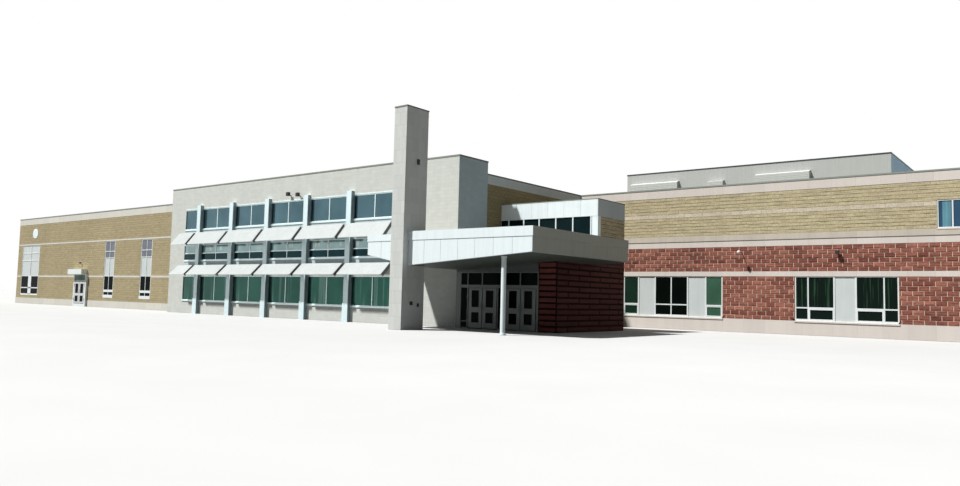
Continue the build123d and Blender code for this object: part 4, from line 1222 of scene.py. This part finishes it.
# %% Louvres under the roof hoods
HOODS = ((8.0, 375.0, 1004.0, 24.0), (595.0, 704.0, 992.0, 15.0), (921.0, 1267.0, 1008.0, 22.0))
HOOD_REACH, SLAT_PITCH, SLAT_SHARE, HOOD_LIP = 36.0, 11.0, 0.92, 0.55
bm = bmesh.new()
slat_foot = pent_low.z + 1
for left, right, bottom, height in HOODS:
    slats, ends = bmesh.new(), bmesh.new()
    slat_top = bottom + HOOD_LIP * height
    rows = int((slat_top - slat_foot) / SLAT_PITCH)
    pitch = (slat_top - slat_foot) / rows
    for k in range(rows):
        foot = slat_foot + k * pitch
        add_bar(slats, left - 0.6, right + 0.6, foot, foot + SLAT_SHARE * pitch,
                HOOD_REACH + 0.1, HOOD_REACH + 1.1)
    join(bm, slats, board("front", pent_low.y))
    for outside in (right + OFF_WALL, left - 1.1):
        end = bmesh.new()
        add_bar(end, pent_low.y - HOOD_REACH + 0.5, pent_low.y - 0.5, slat_foot, slat_top, 0.0, 1.0, 0.2)
        join(ends, end, board("right", outside))
    join(bm, ends)
add_piece("roof_hood_louvres", bm, (louvre_paint,))

# %% [markdown]
# The wing's plaque is a plain oval plate. A torus could ring it, but an inset of its own
# outline with the ring lifted gives the flat, square edge of a cast plate.

# %% Plaque rim
PLAQUE, PLAQUE_RADII, PLAQUE_FACE = (-5665.0, 702.0), (59.0, 49.0), 3.05
RIM_WIDTH, RIM_HEIGHT = 5.0, 1.5
bm = bmesh.new()
spot = Matrix.Translation((*PLAQUE, PLAQUE_FACE)) @ Matrix.Diagonal((*PLAQUE_RADII, 1, 1))
bmesh.ops.create_circle(bm, cap_ends=True, segments=96, radius=0.995, matrix=spot)
rim = bmesh.ops.inset_region(bm, faces=bm.faces[:], thickness=RIM_WIDTH, depth=0.0)["faces"]
lifted = bmesh.ops.extrude_face_region(bm, geom=rim)["geom"]
bmesh.ops.translate(bm, verts=[g for g in lifted if isinstance(g, bmesh.types.BMVert)],
                    vec=(0, 0, RIM_HEIGHT))
bmesh.ops.delete(bm, geom=rim, context="FACES_ONLY")
bm.transform(board("front", WING_FACE))
bmesh.ops.recalc_face_normals(bm, faces=bm.faces)
add_piece("wing_plaque_rim", bm, (white_paint,))

# %% [markdown]
# The wall lamps are a white globe on a dark arm, a plain dark lamp beside it, two
# floodlights on the slab, and one lamp each at the porch and the wing's end. A globe is a
# sphere, an arm a slim bar, and a floodlight a bevelled box on a bracket. Screws and
# cables could be added, but they wouldn't show at this distance. The pylon's right face
# carries a small lamp high up and two switch boxes.

# %% Wall lamps
GLOBE_X, GLOBE_Z, GLOBE_REACH, GLOBE_RADIUS = 1080, 457, 54.0, 10.0
ARM_HALF, PLATE_HALF, PLATE_FACE = 1.5, 6, 2.0
FLOODLIGHTS = (("front", BLOCK_FACE, 1587.0, 440.0, 28.0, 20.0), ("front", 0.0, -1428.0, 790.0, 34.0, 24.0),
               ("front", 0.0, -1331.0, 781.0, 34.0, 24.0), ("front", WING_FACE, -4650.0, 390.0, 22.0, 14.0),
               ("left", WING_LEFT, -224.0, 564.0, 22.0, 14.0))
PYLON_FITTINGS = ((-424, 813, 13, 26, 9), (-445, 126, 18, 18, 5), (-397, 118, 12, 18, 4))


def globe_lamp():
    """A wall plate, an arm and a globe at its end."""
    bm = bmesh.new()
    left, right = GLOBE_X - ARM_HALF, GLOBE_X + ARM_HALF
    add_bar(bm, left, right, GLOBE_Z - PLATE_HALF, GLOBE_Z + PLATE_HALF, OFF_WALL, PLATE_FACE)
    add_bar(bm, left, right, GLOBE_Z - ARM_HALF, GLOBE_Z + ARM_HALF, PLATE_FACE - 0.5, GLOBE_REACH - 6)
    made = bmesh.ops.create_uvsphere(bm, u_segments=24, v_segments=16, radius=GLOBE_RADIUS,
                                     matrix=Matrix.Translation((GLOBE_X, GLOBE_Z, GLOBE_REACH)))
    for face in {f for vert in made["verts"] for f in vert.link_faces}:
        face.material_index = 1
    return bm


def floodlight(u, v, reach, size):
    """A bracket on the wall and a box lamp that stands out from it."""
    bm = bmesh.new()
    add_bar(bm, u + size * 0.3, u + size * 0.7, v + 2, v + 6, OFF_WALL, reach * 0.5)
    add_bar(bm, u, u + size, v, v + size, reach * 0.45, reach, 1.2)
    return bm


bm = bmesh.new()
join(bm, globe_lamp(), board("front", BLOCK_FACE))
for facing, plane, u, v, reach, size in FLOODLIGHTS:
    join(bm, floodlight(u, v, reach, size), board(facing, plane))
lamps = add_piece("lamps_on_walls", bm, (lamp_metal, globe_glass), smooth_angle=35)
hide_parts("wall_lamps")
bm = bmesh.new()
for u, v, wide, high, reach in PYLON_FITTINGS:
    add_bar(bm, u - wide / 2, u + wide / 2, v - high / 2, v + high / 2, OFF_WALL, reach, 1.0)
hang("pylon_fittings", bm, "right", PYLON_RIGHT, (lamp_metal,))

# %% [markdown]
# A large floor carries the building's shadow. It is staged, so it isn't part of the
# object. It is pale where it is seen, directly, in a reflection or through glass. For
# the light that it bounces it is a darker grey, as worn ground is, so that the shaded
# sides of the building stay as deep as they really are.

# %% Floor
FLOOR_HALF, FLOOR_DROP, SEEN, BOUNCED = 60.0, 0.0005, 0.58, 0.18


def seen_ray(tree):
    """One for rays from the camera, off gloss or through glass, else nought."""
    rays = tree.nodes.new("ShaderNodeLightPath").outputs
    seen = rays["Is Camera Ray"]
    for ray in ("Is Glossy Ray", "Is Transmission Ray"):
        either = tree.nodes.new("ShaderNodeMath")
        either.operation = "MAXIMUM"
        tree.links.new(seen, either.inputs[0])
        tree.links.new(rays[ray], either.inputs[1])
        seen = either.outputs[0]
    return seen


bm = bmesh.new()
bmesh.ops.create_grid(bm, x_segments=1, y_segments=1, size=FLOOR_HALF,
                      matrix=Matrix.Translation((0, 0, -FLOOR_DROP)))
mesh = bpy.data.meshes.new("floor")
bm.to_mesh(mesh)
bm.free()
floor = bpy.data.objects.new("floor", mesh)
bpy.context.collection.objects.link(floor)
floor_paint = Finish("pale_floor", 0.9, specular=0.1)
cloudy = floor_paint.ramp(floor_paint.noise(3.0, 2), (0.3, grey(SEEN)), (0.7, grey(SEEN + 0.02)))
floor_paint.paint(floor_paint.mix(seen_ray(floor_paint.tree), grey(BOUNCED), cloudy))
mesh.materials.append(floor_paint.material)
print("floor staged")

# %% [markdown]
# One broad sun lamp stands for the studio's key light. It comes from the left, in front
# and above, so that fins and sunshades cast their shadows down to the right, as on the
# real front. A weak, very soft lamp from behind keeps the rear readable. The world gives
# an even fill, and is plain white to the camera, to glossy rays and through glass.

# %% Light
FILL_COLOUR, FILL_STRENGTH = (0.80, 0.92, 1.0, 1), 0.105


def sun_lamp(name, travels, energy, angle, colour):
    """A sun whose light travels along a vector, with the width of its disc in degrees."""
    data = bpy.data.lights.new(name, "SUN")
    data.energy, data.angle, data.color = energy, math.radians(angle), colour
    lamp = bpy.data.objects.new(name, data)
    lamp.matrix_world = Vector(travels).to_track_quat("-Z", "Y").to_matrix().to_4x4()
    bpy.context.collection.objects.link(lamp)
    print(name, energy)


sun_lamp("key_light", (0.43, 0.54, -1.0), 5.45, 2.5, (1.0, 0.995, 0.975))
sun_lamp("back_light", (0.25, -0.9, -0.35), 1.1, 30.0, (1.0, 1.0, 1.0))
world = bpy.data.worlds.new("studio")
bpy.context.scene.world = world
world.use_nodes = True
sky = world.node_tree
fill = sky.nodes["Background"]
fill.inputs[0].default_value, fill.inputs[1].default_value = FILL_COLOUR, FILL_STRENGTH
white = sky.nodes.new("ShaderNodeBackground")
white.inputs[0].default_value, white.inputs[1].default_value = (1, 1, 1, 1), 1.0
choose = sky.nodes.new("ShaderNodeMixShader")
sky.links.new(seen_ray(sky), choose.inputs[0])
sky.links.new(fill.outputs[0], choose.inputs[1])
sky.links.new(white.outputs[0], choose.inputs[2])
sky.links.new(choose.outputs[0], sky.nodes["World Output"].inputs["Surface"])
print("fill", FILL_STRENGTH)
